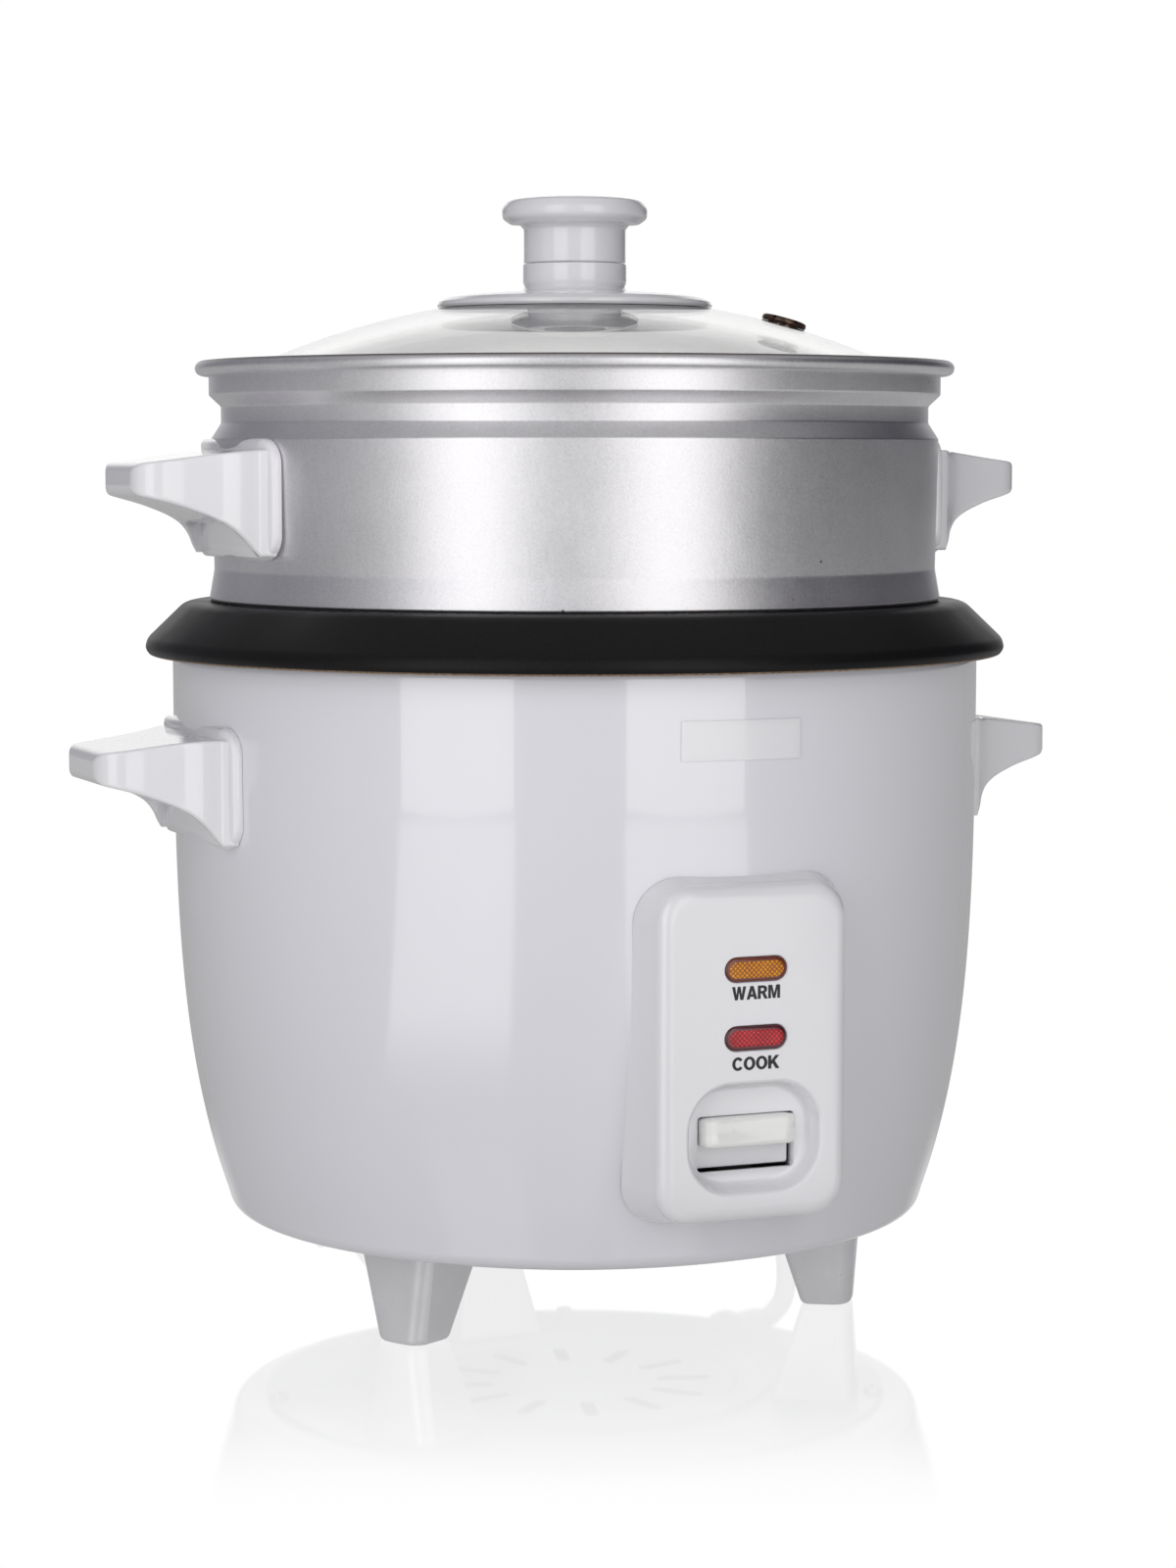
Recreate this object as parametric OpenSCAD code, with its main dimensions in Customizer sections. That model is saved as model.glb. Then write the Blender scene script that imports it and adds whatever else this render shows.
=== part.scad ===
// Drum rice cooker with a steamer basket and a domed glass lid.
// Millimetres, +Z up, origin on the floor under the drum's axis, control panel towards -Y.

/* [Drum] */
// Radius of the drum at its top edge
drum_r = 115; // [114:0.5:116]
// Height of the drum's top edge above the floor
drum_top = 188; // [186:1:188]
// Height of the drum's flat underside above the floor
drum_bottom = 28; // [27:0.5:29]
// Thickness of the drum's sheet steel
drum_wall = 1; // [0.8:0.1:1.2]

/* [Pot] */
// Inside radius of the inner pot
pot_r = 99.9; // [99.6:0.1:100.2]
// Height of the pot's inside floor
pot_floor = 88; // [87.8:0.1:88.5]
// Thickness of the pot's wall
pot_wall = 1.6; // [1.2:0.1:1.8]
// Radius of the pot's flared rim at its widest
pot_rim_r = 122.8; // [122.5:0.1:123]

/* [Steamer] */
// Radius of the steamer's main wall
steamer_r = 103.7; // [103.5:0.1:103.9]
// Height of the steamer's rolled rim
steamer_top = 270; // [269:0.5:271]
// Radius of one steam hole
steam_hole_r = 3; // [2:0.5:3.5]

/* [Lid and knob] */
// Radius of the sphere the glass follows
dome_r = 221.8; // [221:0.2:222.6]
// Height of the glass dome's crown
dome_top = 288.6; // [288.3:0.1:288.8]
// Thickness of the glass
glass_t = 4; // [3.6:0.1:4]
// Radius of the knob's top disc
knob_r = 21; // [19:0.5:23]

/* [Handles and feet] */
// Reach of each handle beyond the wall it is fixed to
handle_reach = 31; // [29:0.5:31.5]
// Width of each handle's base
handle_base = 66; // [62:1:68]
// Distance of each foot's screw from the drum's axis
foot_screw_r = 70; // [69:0.5:71]

/* [Control panel] */
// Width of the panel's face
panel_w = 53; // [52:1:54]
// Sideways offset of the panel from the drum's middle
panel_x = 0.8; // [0:0.1:1]
// Distance from the drum's axis to the panel's face
panel_y = 122; // [121.8:0.1:122.3]

/* [Cord] */
// Diameter of the mains cord
cord_d = 6.5; // [6:0.1:6.5]

/* [Hidden] */
$fn = 96;

// Drum curve: nearly upright at the top, tucked in towards the floor.
drum_h = 158;
corner_r = 5.4;
function tuck(z) = (186 - z) / drum_h;
function drum_at(z) = drum_r - 0.5 * tuck(z) - 16.1 * pow(max(0, tuck(z)), 3.7);
corner_c = [drum_at(drum_bottom + 4) - corner_r + 0.3, drum_bottom + corner_r];
function corner_pts(k, d) = [for (i = [0 : 5]) let (a = -90 + 15 * i)
  [corner_c[0] + (corner_r + d) * cos(a), corner_c[1] + (corner_r + d) * sin(a)]];
// Outer line from the flat underside to the top edge, moved outwards by d.
function drum_line(d) = concat(corner_pts(0, d),
  [for (z = [36 : 7.6 : drum_top]) [drum_at(z) + d, z]], [[drum_at(drum_top) + d, drum_top]]);
function rev(v) = [for (i = [len(v) - 1 : -1 : 0]) v[i]];

// Sphere height of the glass, upper and lower faces.
function dome_z(r) = dome_top - dome_r + sqrt(dome_r * dome_r - r * r);
dome_ri = dome_r - glass_t;
function under_z(r) = dome_top - dome_r + sqrt(dome_ri * dome_ri - r * r);

plate_z = drum_bottom - 1.4;   // underside of the bottom plate
pot_under = pot_floor - 2;     // underside of the pot
hot_top = pot_under - 0.3;     // top of the heating plate
liner_r = 105.2;
liner_floor = 62;
pivot = [-55, 55];             // lever pivot, y and z
exit_a = 40;                   // direction in which the cord leaves, from +X
exit_z = 36;
foot_angles = [-30, -150, 90];
screw_angles = [30, 150, 270];
bottom_angles = [-30, 70, 170];

// Mains cord from the strain relief down to the floor and along to the coil.
cord_route = [[96, 80.5, 36], [101, 84.7, 35.9], [106, 88.8, 35.4], [113, 95.5, 32.6],
  [118, 103.5, 27.4], [121.3, 112, 19.8], [122.8, 121, 12.1], [123, 130, 7.2],
  [123, 139, 4.6], [123, 147, 3.8]];
coil_c = [81, 156];
coil_in = 35.5;
coil_out = 42;
tail_route = [[60, 192.4, 10.3], [51, 187.2, 11.6], [43.5, 182.9, 12.9], [36.6, 178.9, 13]];
plug_at = [36.6, 178.9, 13];
plug_a = 210;

function unit(v) = v / norm(v);
// Round tube along a list of points, closed at both ends.
module tube(path, r, n) {
  m = len(path);
  t = [for (i = [0 : m - 1]) unit(path[min(i + 1, m - 1)] - path[max(i - 1, 0)])];
  rings = [for (i = [0 : m - 1]) let (s = unit(cross([0, 0, 1], t[i])), u = cross(t[i], s))
    for (a = [0 : n - 1]) path[i] + r * (cos(a * 360 / n) * s + sin(a * 360 / n) * u)];
  sides = [for (i = [0 : m - 2]) for (a = [0 : n - 1]) let (b = (a + 1) % n)
    for (f = [[i * n + a, (i + 1) * n + a, (i + 1) * n + b], [i * n + a, (i + 1) * n + b, i * n + b]]) f];
  polyhedron(points = rings, faces = concat(sides,
    [[for (a = [0 : n - 1]) a]], [[for (a = [n - 1 : -1 : 0]) (m - 1) * n + a]]));
}

module lathe(pts) rotate_extrude($fn = 120) polygon(pts);
module drum_blank(d) lathe(concat([[0, drum_bottom - d]], drum_line(d), [[0, drum_top]]));
module round_rect(w, h, r) {
  // Rectangle with round corners, centred.
  union() {
    square([w - 2 * r, h], center = true);
    square([w, h - 2 * r], center = true);
    for (x = [-1, 1], y = [-1, 1]) translate([x * (w / 2 - r), y * (h / 2 - r)]) circle(r, $fn = 32);
  }
}
// Upright outline pushed through the front wall: centre height z, from y0 to y1.
module front_block(w, h, r, z, y0, y1)
  translate([0, y1, z]) rotate([90, 0, 0]) linear_extrude(y1 - y0) round_rect(w, h, r);
module stadium(w, h) {
  square([w - h, h], center = true);
  for (x = [-1, 1]) translate([x * (w - h) / 2, 0]) circle(h / 2, $fn = 32);
}
module front_stadium(w, h, z, y0, y1)
  translate([0, y1, z]) rotate([90, 0, 0]) linear_extrude(y1 - y0) stadium(w, h);

// ---------- drum ----------
module outer_body() color("white") difference() {
  lathe(concat(drum_line(0), rev(drum_line(-drum_wall)), [[84, drum_bottom + drum_wall], [84, drum_bottom]]));
  // Opening behind the control panel
  translate([-18, -130, 44]) cube([36, 40, 74]);
  translate([0, -90, 126]) rotate([90, 0, 0]) cylinder(r = 1.7, h = 40);
  // Handle screw holes
  for (s = [0, 180], y = [-14, 14]) rotate([0, 0, s]) translate([100, y, 153.8]) rotate([0, 90, 0]) cylinder(r = 2.2, h = 30);
  // Cord hole
  rotate([0, 0, exit_a]) translate([88, 0, exit_z]) rotate([0, 90, 0]) cylinder(r = 6.2, h = 30);
  for (a = bottom_angles) rotate([0, 0, a]) translate([87, 0, 20]) cylinder(r = 1.8, h = 14);
}
module bottom_plate() color("silver") difference() {
  lathe([[0, plate_z], [46, plate_z], [48, plate_z - 1.2], [56, plate_z - 1.2], [58, plate_z], [90, plate_z],
    [90, drum_bottom], [57.5, drum_bottom], [55.5, drum_bottom - 1.2], [48.5, drum_bottom - 1.2], [46.5, drum_bottom], [0, drum_bottom]]);
  for (a = [0 : 30 : 330]) rotate([0, 0, a + 15]) translate([0, 0, plate_z - 2])
    linear_extrude(6) translate([32, 0]) stadium(16, 4);
  for (a = foot_angles) rotate([0, 0, a]) translate([foot_screw_r, 0, 20]) cylinder(r = 2.05, h = 14);
  for (a = bottom_angles) rotate([0, 0, a]) translate([87, 0, 20]) cylinder(r = 1.8, h = 14);
}
module inner_liner() color("gainsboro") difference() {
  lathe([[13.2, liner_floor], [92, liner_floor], [liner_r, 68], [liner_r, drum_top + 0.1], [114.6, drum_top + 0.1],
    [114.6, drum_top + 0.9], [liner_r - 0.8, drum_top + 0.9], [liner_r - 0.8, 68.6], [91.6, liner_floor + 0.8], [13.2, liner_floor + 0.8]]);
  for (x = [-1, 1]) translate([x * 10.8, 50.9, 50]) cylinder(r = 5, h = 20);
  for (a = screw_angles) rotate([0, 0, a]) translate([62, 0, 50]) cylinder(r = 2.1, h = 20);
}
module heating_plate() color("lightgray") difference() {
  lathe([[17, 76], [70, 76], [75, 78.5], [75, hot_top - 2.2], [72.5, hot_top], [17, hot_top]]);
  for (a = screw_angles) rotate([0, 0, a]) translate([62, 0, 70]) cylinder(r = 2.02, h = 10);
}
module heater_element() color("dimgray") union() {
  difference() {
    lathe([[48, 70.5], [50, 69], [54, 69], [56, 70.5], [56, 76], [48, 76]]);
    translate([-6, 30, 60]) cube([12, 40, 30]);
  }
  for (x = [-1, 1]) translate([x * 10.8, 50.9, 56]) cylinder(r = 3, h = 16);
}
module plate_posts() color("silver")
  for (a = screw_angles) rotate([0, 0, a]) translate([62, 0, liner_floor + 0.8]) difference() {
    cylinder(r = 4.5, h = 76 - liner_floor - 0.8);
    translate([0, 0, -1]) cylinder(r = 2.1, h = 20);
  }
module screw(head_r, head_h, r, l) union() {
  // Head below z 0, shank above
  difference() {
    translate([0, 0, -head_h]) cylinder(r1 = head_r * 0.8, r2 = head_r, h = head_h, $fn = 32);
    for (a = [0, 90]) rotate([0, 0, a]) translate([-head_r * 0.6, -0.45, -head_h - 1]) cube([head_r * 1.2, 0.9, 1 + head_h * 0.5]);
  }
  cylinder(r = r, h = l, $fn = 32);
}
module plate_screws() color("silver")
  for (a = screw_angles) rotate([0, 0, a]) translate([62, 0, liner_floor]) screw(3.6, 1.8, 2, 16);
module keep_warm_heater() color("tan") difference() {
  lathe([[liner_r + 0.05, 74], [liner_r + 1.4, 74], [liner_r + 1.4, 92], [liner_r + 0.05, 92]]);
  translate([-30, -120, 60]) cube([60, 60, 60]);
}

// ---------- thermostat ----------
module thermostat_housing() color("silver")
  lathe([[3, liner_floor], [12.5, liner_floor], [12.5, liner_floor + 0.8], [20, liner_floor + 0.8], [20, liner_floor + 2.3],
    [12.5, liner_floor + 2.3], [12.5, 75], [10.2, 75], [10.2, liner_floor + 1.5], [3, liner_floor + 1.5]]);
module sensor_cap() color("lightgray")
  lathe([[0, hot_top - 1.2], [14, hot_top - 1.2], [14, 76], [15.2, 76], [15.2, hot_top - 0.8], [14.4, hot_top], [0, hot_top]]);
module sensor_ferrite() color("dimgray") translate([0, 0, 78.2]) cylinder(r = 9.5, h = hot_top - 1.2 - 78.2);
module sensor_spring() color("gray")
  tube([for (i = [0 : 76]) [14.6 * cos(i * 20), 14.6 * sin(i * 20), 65 + 10.2 * i / 76]], 0.55, 8);
module magnet_plunger() color("slategray") union() {
  translate([0, 0, 64]) cylinder(r = 9.4, h = 7.5);
  translate([0, 0, 56.5]) cylinder(r = 2.5, h = 8, $fn = 32);
}

// ---------- switch ----------
module lever_strip(y0, y1, z0, z1) translate([-5, y0, z0]) cube([10, y1 - y0, z1 - z0]);
module switch_lever() color("silver") difference() {
  union() {
    lever_strip(-110, 1, 54, 56);
    lever_strip(-110, -108.2, 54, 69.5);
    lever_strip(-112.1, -108.2, 66.5, 69.5);
    translate([-6, pivot[0], pivot[1]]) rotate([0, 90, 0]) cylinder(r = 4, h = 12, $fn = 48);
  }
  translate([-7, pivot[0], pivot[1]]) rotate([0, 90, 0]) cylinder(r = 2.05, h = 14, $fn = 48);
}
module switch_paddle() color("whitesmoke") translate([panel_x, 0, 0]) union() {
  front_block(26.8, 8, 1.6, 67.7, -120.5, -113);
  translate([-12.9, -113.3, 58.5]) cube([25.8, 1.2, 13]);
}
module lever_pin() color("silver") translate([-11, pivot[0], pivot[1]]) rotate([0, 90, 0]) cylinder(r = 2, h = 22, $fn = 48);
module lever_bracket() color("gray") difference() {
  union() {
    for (x = [-9.5, 8]) translate([x, pivot[0] - 6, 50]) cube([1.5, 12, 12]);
    translate([-16, pivot[0] - 6, 60.5]) cube([7, 12, 1.5]);
    translate([8, pivot[0] - 6, 60.5]) cube([8, 12, 1.5]);
  }
  translate([-20, pivot[0], pivot[1]]) rotate([0, 90, 0]) cylinder(r = 2.02, h = 40, $fn = 48);
}
module microswitch() color("darkslategray") union() {
  translate([11.2, -66, 43]) cube([8, 24, 16]);
  for (y = [-62, -54, -46]) translate([13.4, y, 37]) cube([3.2, 0.8, 6.4]);
}
module thermal_fuse() color("khaki") translate([-48, -14, 59.6]) rotate([90, 0, 0]) union() {
  cylinder(r = 2.3, h = 22, $fn = 32);
  translate([0, 0, -8]) cylinder(r = 0.8, h = 38, $fn = 24);
}
module terminal_block() color("ivory") difference() {
  translate([44, 34, drum_bottom]) cube([24, 14, 13]);
  for (x = [48, 56, 64]) translate([x, 41, drum_bottom + 5]) cylinder(r = 2.2, h = 10, $fn = 24);
}
module wiring() color("lightgray") {
  tube([[48, 34, 36], [42, 30, 38], [30, 34, 42], [18, 44, 45], [12.5, 48.5, 49], [10.8, 50.9, 55.8]], 1.1, 8);
  tube([[56, 34, 36], [40, 16, 36], [26, -18, 35], [20, -38, 34], [15, -46, 36.8]], 1.1, 8);
  tube([[15, -62, 36.8], [4, -74, 34], [-24, -62, 36], [-42, -52, 46], [-48, -44.2, 59.6]], 1.1, 8);
  tube([[-48, -5.8, 59.6], [-46, 10, 52], [-34, 32, 48], [-18, 44, 49], [-10.8, 50.9, 55.8]], 1.1, 8);
}
module indicator_lamps() color("orange")
  for (z = [110.9, 92.9]) translate([panel_x - 7, -113.4, z]) rotate([0, 90, 0]) cylinder(r = 2.2, h = 14, $fn = 32);
module lens(z) translate([panel_x, 0, 0]) union() {
  front_stadium(17.5, 6.3, z, -122.4, -118.2);
  front_stadium(19.5, 8.3, z, -119.3, -118.2);
}
module warm_lens() color("orange") lens(110.9);
module cook_lens() color("crimson") lens(92.9);

// ---------- control panel ----------
module panel_shape(d) hull() {
  front_block(panel_w - 2 * d, 87.5 - 2 * d, 8, 88.75, -panel_y + d, -panel_y + d + 0.5);
  front_block(panel_w + 6 - 2 * d, 93.5 - 2 * d, 10, 88.75, -panel_y + 7, -panel_y + 7.5);
  front_block(panel_w + 9 - 2 * d, 95 - 2 * d, 11, 87.7, -98, -97.5);
}
module control_panel() color("white") difference() {
  union() {
    translate([panel_x, 0, 0]) difference() {
      panel_shape(0);
      panel_shape(2.5);
    }
    // Wall of the switch recess
    translate([panel_x, 0, 0]) front_block(42.4, 33.5, 13, 66.6, -119.6, -114.5);
    // Screw boss
    translate([0, -100, 126]) rotate([90, 0, 0]) cylinder(r = 3.5, h = 19.8);
  }
  drum_blank(0.1);
  translate([panel_x, 0, 0]) {
    front_block(39.4, 30.5, 12, 66.6, -125, -116);
    front_block(28, 15, 1.2, 64.5, -125, -90);
    for (z = [110.9, 92.9]) front_stadium(17.9, 6.7, z, -125, -118);
  }
  translate([0, -90, 126]) rotate([90, 0, 0]) cylinder(r = 1.5, h = 28.5);
}
module panel_screws() color("silver") {
  translate([0, -110.6, 126]) rotate([90, 0, 0]) screw(2.8, 1.6, 1.48, 6.5);
}

// ---------- handles ----------
// Ear handle on the +X side: wall radius r0, base bottom at z0.
module ear(r0, z0, screw_up) difference() {
  union() {
    intersection() {
      translate([0, handle_base / 2, z0]) rotate([90, 0, 0]) linear_extrude(handle_base)
        polygon([[r0 - 12, 1], [r0 + 2.5, 1], [r0 + 4, 4.5], [r0 + 7, 8.2], [r0 + 11, 11.2], [r0 + 16, 13.8], [r0 + 22, 15.8],
          [r0 + 28, 17.2], [r0 + handle_reach - 0.8, 18.4], [r0 + handle_reach, 20.2], [r0 + handle_reach, 23.8],
          [r0 + handle_reach - 0.9, 25.4], [r0 + handle_reach - 3, 26.2], [r0 + 3, 29.8], [r0 - 12, 30]]);
      linear_extrude(400) polygon(concat(
        [for (s = [0 : 9]) let (u = [-10, 2.4, 4.6, 8, 13, 19, 25, 28.2, 30.3, 31][s] * handle_reach / 31,
          v = [33, 28.5, 26.4, 23.6, 21.4, 20.2, 19.6, 18.4, 15.6, 12][s]) [r0 + u, -v * handle_base / 66]],
        [for (s = [9 : -1 : 0]) let (u = [-10, 2.4, 4.6, 8, 13, 19, 25, 28.2, 30.3, 31][s] * handle_reach / 31,
          v = [33, 28.5, 26.4, 23.6, 21.4, 20.2, 19.6, 18.4, 15.6, 12][s]) [r0 + u, v * handle_base / 66]]));
    }
    // Base plate that hugs the wall
    intersection() {
      translate([0, 0, z0]) cylinder(r = r0 + 2.6, h = 33);
      translate([r0 - 20, 0, z0 + 16.5]) rotate([90, 0, 90]) linear_extrude(40) round_rect(handle_base, 33, 7);
    }
  }
  for (y = [-14, 14]) translate([r0 - 8, y, z0 + screw_up]) rotate([0, 90, 0]) cylinder(r = 1.9, h = 17);
}
module body_ear() difference() {
  ear(drum_at(170), 137.3, 16.5);
  drum_blank(0.1);
}
module body_handle_right() color("white") body_ear();
module body_handle_left() color("white") rotate([0, 0, 180]) body_ear();
module body_handle_screws() color("silver")
  for (s = [0, 180], y = [-14, 14]) rotate([0, 0, s]) translate([110.6, y, 153.8]) rotate([0, 90, 0]) screw(3.2, 1.8, 1.85, 10);
module steamer_ear() difference() {
  ear(steamer_r, 215.2, 16.5);
  translate([0, 0, 150]) cylinder(r = steamer_r + 0.1, h = 150);
}
module steamer_handle_right() color("white") steamer_ear();
module steamer_handle_left() color("white") rotate([0, 0, 180]) steamer_ear();
module steamer_handle_screws() color("silver")
  for (s = [0, 180], y = [-14, 14]) rotate([0, 0, s]) translate([steamer_r - 2.8, y, 231.7]) rotate([0, 90, 0]) screw(3.2, 1.6, 1.85, 10);

// ---------- feet ----------
module foot() color("silver") difference() {
  intersection() {
    rotate([90, 0, 0]) translate([0, 0, -15]) linear_extrude(30)
      polygon([[66.8, 0], [79.6, 0], [81.2, 1.6], [83.2, plate_z], [58.2, plate_z]]);
    rotate([90, 0, 90]) linear_extrude(120) polygon([[-8.2, 0], [8.2, 0], [13.35, plate_z], [-13.35, plate_z]]);
    translate([50, 0, -1]) cylinder(r = 33.2, h = 40);
  }
  translate([foot_screw_r, 0, 8]) cylinder(r = 2.05, h = 30);
}
module foot_right() rotate([0, 0, foot_angles[0]]) foot();
module foot_left() rotate([0, 0, foot_angles[1]]) foot();
module foot_rear() rotate([0, 0, foot_angles[2]]) foot();
module foot_screws() color("silver")
  for (a = foot_angles) rotate([0, 0, a]) translate([foot_screw_r, 0, drum_bottom]) rotate([180, 0, 0]) screw(3.6, 1.8, 2, 16);
module bottom_screws() color("silver")
  for (a = bottom_angles) rotate([0, 0, a]) translate([87, 0, plate_z]) screw(2.8, 1.4, 1.6, 8);
module blank_badge() color("white") intersection() {
  difference() {
    lathe([[drum_at(170) + 0.45, 160], [drum_at(170) + 0.45, 180], [drum_at(170) + 0.15, 180], [drum_at(170) + 0.15, 160]]);
  }
  front_block(34, 10.4, 1, 170, -125, -100);
}

// ---------- cord ----------
module strain_relief() color("white") rotate([0, 0, exit_a]) translate([0, 0, exit_z]) rotate([0, 90, 0]) difference() {
  rotate_extrude($fn = 48) polygon([[0, 92], [8, 92], [8, 97], [6.1, 97], [6.1, 103], [8.6, 103], [8.6, 105.5], [6.4, 107], [4.4, 128], [0, 128]]);
  translate([0, 0, 124]) cylinder(r = cord_d / 2, h = 10);
}
module power_cord() color("whitesmoke") tube(cord_route, cord_d / 2, 10);
module cord_coil() color("whitesmoke") translate([coil_c[0], coil_c[1], 0])
  lathe([[coil_in - 3, 0.6], [coil_out + 3, 0.6], [coil_out + 3.25, 1.4], [coil_out + 3.25, 12.6], [coil_out + 2, 13.5],
    [coil_in - 2, 13.5], [coil_in - 3.25, 12.4], [coil_in - 3.25, 1.2]]);
module cord_tie() color("dimgray") translate([coil_c[0], coil_c[1], 0]) rotate([0, 0, 200]) translate([0, -3, 0]) difference() {
  translate([coil_in - 4.2, 0, 0.05]) cube([coil_out - coil_in + 8.4, 6, 14.6]);
  translate([coil_in - 3.6, -1, 0.55]) cube([coil_out - coil_in + 7.2, 8, 13.3]);
}
module cord_tail() color("whitesmoke") tube(tail_route, cord_d / 2, 10);
module plug_body() color("whitesmoke") translate(plug_at) rotate([0, 90, plug_a])
  rotate_extrude($fn = 48) polygon([[0, 0], [4.2, 0], [6, 16], [9.5, 20], [12.2, 27], [12.9, 34], [12.9, 50], [12, 51], [0, 51]]);
module plug_pins() color("silver") translate(plug_at) rotate([0, 0, plug_a])
  for (y = [-9.5, 9.5]) translate([51, y, 0]) rotate([0, 90, 0]) union() {
    cylinder(r = 2.4, h = 17.5, $fn = 32);
    translate([0, 0, 17.5]) cylinder(r1 = 2.4, r2 = 1.4, h = 1.2, $fn = 32);
  }

// ---------- pot ----------
module inner_pot() color([0.12, 0.12, 0.13]) lathe(concat(
  [[0, pot_floor]],
  [for (a = [-90 : 15 : 0]) [pot_r - 12 + 12 * cos(a), pot_floor + 12 + 12 * sin(a)]],
  [[pot_r, 196]],
  [for (a = [165 : -15 : 90]) [pot_r + 6.5 + 6.5 * cos(a), 195.7 + 6.5 * sin(a)]],
  [for (a = [80 : -10 : 0]) [pot_rim_r - 14.8 + 14.8 * cos(a), 190.6 + 11.6 * sin(a)]],
  [[pot_rim_r - 0.5, 189], [pot_rim_r - 2, 187.9], [pot_rim_r - 4, 187.3], [pot_rim_r - 4, 188.8], [pot_rim_r - 2.2, 189.4], [pot_rim_r - pot_wall, 190.6]],
  [for (a = [10 : 10 : 80]) [pot_rim_r - 14.8 + (14.8 - pot_wall) * cos(a), 190.6 + (11.6 - pot_wall) * sin(a)]],
  [for (a = [90 : 15 : 165]) [pot_r + 6.5 + (6.5 - pot_wall) * cos(a), 195.7 + (6.5 - pot_wall) * sin(a)]],
  [[pot_r + pot_wall, 195]],
  [for (a = [0 : -15 : -90]) [pot_r - 12 + (12 + pot_wall) * cos(a), pot_floor + 12 + (14) * sin(a)]],
  [[0, pot_under]]));

// ---------- steamer ----------
module steamer_basket() color("silver") difference() {
  union() {
    lathe([[0, 190], [95, 190], [98.2, 191], [99.3, 193.6], [99.3, 202.6], [104.5, 202.6], [103.9, 206], [103, 212], [steamer_r, 248.4],
      [100.8, 252.1], [100.8, 257.2], [104.2, 261.5], [104.2, 266.4], [103.2, 266.4], [103.2, 261.9], [99.8, 257.6], [99.8, 251.7],
      [steamer_r - 1, 248], [102, 212], [102.9, 206], [103.4, 203.6], [98.3, 203.6], [98.3, 194], [97.4, 191.9], [94.8, 191], [0, 191]]);
    rotate_extrude($fn = 120) translate([106, steamer_top - 2]) difference() {
      union() { circle(2, $fn = 32); translate([-2.8, -2]) square([2, 2.2]); }
      circle(1.1, $fn = 24);
    }
  }
  for (k = [0 : 4]) for (i = [0 : max(1, 6 * k) - 1]) rotate([0, 0, i * 60 / max(1, k) + k * 7])
    translate([k * 17, 0, 180]) cylinder(r = steam_hole_r, h = 20, $fn = 24);
  for (s = [0, 180], y = [-14, 14]) rotate([0, 0, s]) translate([90, y, 231.7]) rotate([0, 90, 0]) cylinder(r = 2.2, h = 30);
}

// ---------- lid ----------
vent_r = 59.5;
vent_a = -22.3;
vent_tilt = asin(vent_r / dome_r);
module at_vent() rotate([0, 0, vent_a]) translate([vent_r, 0, dome_z(vent_r)]) rotate([0, vent_tilt, 0]) children();
module lid_glass() color([0.85, 0.9, 0.92, 0.35]) difference() {
  lathe(concat([for (r = [0 : 10 : 100]) [r, dome_z(r)]], [[101.6, dome_z(101.6)], [102.5, 262.4], [102.6, 261.4], [101.9, 260.4], [101.2, under_z(101.2)]],
    [for (r = [100 : -10 : 0]) [r, under_z(r)]]));
  translate([0, 0, 270]) cylinder(r = 2.8, h = 30, $fn = 48);
  at_vent() translate([0, 0, -12]) cylinder(r = 4.7, h = 24, $fn = 48);
}
module vent_grommet() color("saddlebrown") at_vent() rotate_extrude($fn = 48)
  polygon([[2, -5.5], [6, -5.5], [6.2, -4.5], [4.5, -4.5], [4.5, 0.3], [6.5, 0.3], [6.5, 1.3], [5.6, 2.2], [2, 2.2]]);
module knob_cap() color("white") lathe([[0, 306], [2.52, 305], [2.52, 297.85], [knob_r - 6.4, 297.85], [knob_r - 6.4, 306.8], [knob_r - 5.6, 308.4],
  [knob_r - 3.6, 309], [knob_r - 1.8, 309.4], [knob_r - 0.4, 310.6], [knob_r, 312.4], [knob_r - 0.3, 313.9], [knob_r - 1.5, 315.2], [knob_r - 4, 316.1], [knob_r - 9, 316.6], [0, 316.8]]);
module knob_base() color("white") lathe([[2.8, dome_z(2.8) + 0.1], [10, dome_z(10) + 0.1], [20, dome_z(20) + 0.1], [30, dome_z(30) + 0.1], [38.8, dome_z(38.8) + 0.1],
  [39.35, 285.8], [39.3, 286.5], [38.2, 287.6], [36, 288.4], [33, 289], [26, 289.6], [18, 290], [15.6, 290.7], [14.9, 292], [14.9, 297.8], [2.8, 297.8]]);
module knob_washer() color("silver") lathe([[2.8, 284.4], [10, 284.2], [13.4, 283.9], [13.6, 283.1], [18.4, 282.6], [18.4, 281.8], [13.5, 280.1], [8.3, 280.1], [8.3, 282.3], [2.8, 282.3]]);
module knob_screw() color("silver") translate([0, 0, 282.25]) screw(4.2, 1.8, 2.5, 20);

outer_body();
bottom_plate();
inner_liner();
heating_plate();
heater_element();
plate_posts();
plate_screws();
keep_warm_heater();
thermostat_housing();
sensor_cap();
sensor_ferrite();
sensor_spring();
magnet_plunger();
switch_lever();
switch_paddle();
lever_pin();
lever_bracket();
microswitch();
thermal_fuse();
terminal_block();
wiring();
indicator_lamps();
warm_lens();
cook_lens();
control_panel();
panel_screws();
body_handle_left();
body_handle_right();
body_handle_screws();
foot_left();
foot_right();
foot_rear();
foot_screws();
bottom_screws();
blank_badge();
strain_relief();
power_cord();
cord_coil();
cord_tie();
cord_tail();
plug_body();
plug_pins();
inner_pot();
steamer_basket();
steamer_handle_left();
steamer_handle_right();
steamer_handle_screws();
lid_glass();
vent_grommet();
knob_cap();
knob_base();
knob_washer();
knob_screw();
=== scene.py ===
import math

import bpy
import bmesh
from mathutils import Matrix, Vector, geometry


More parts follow.
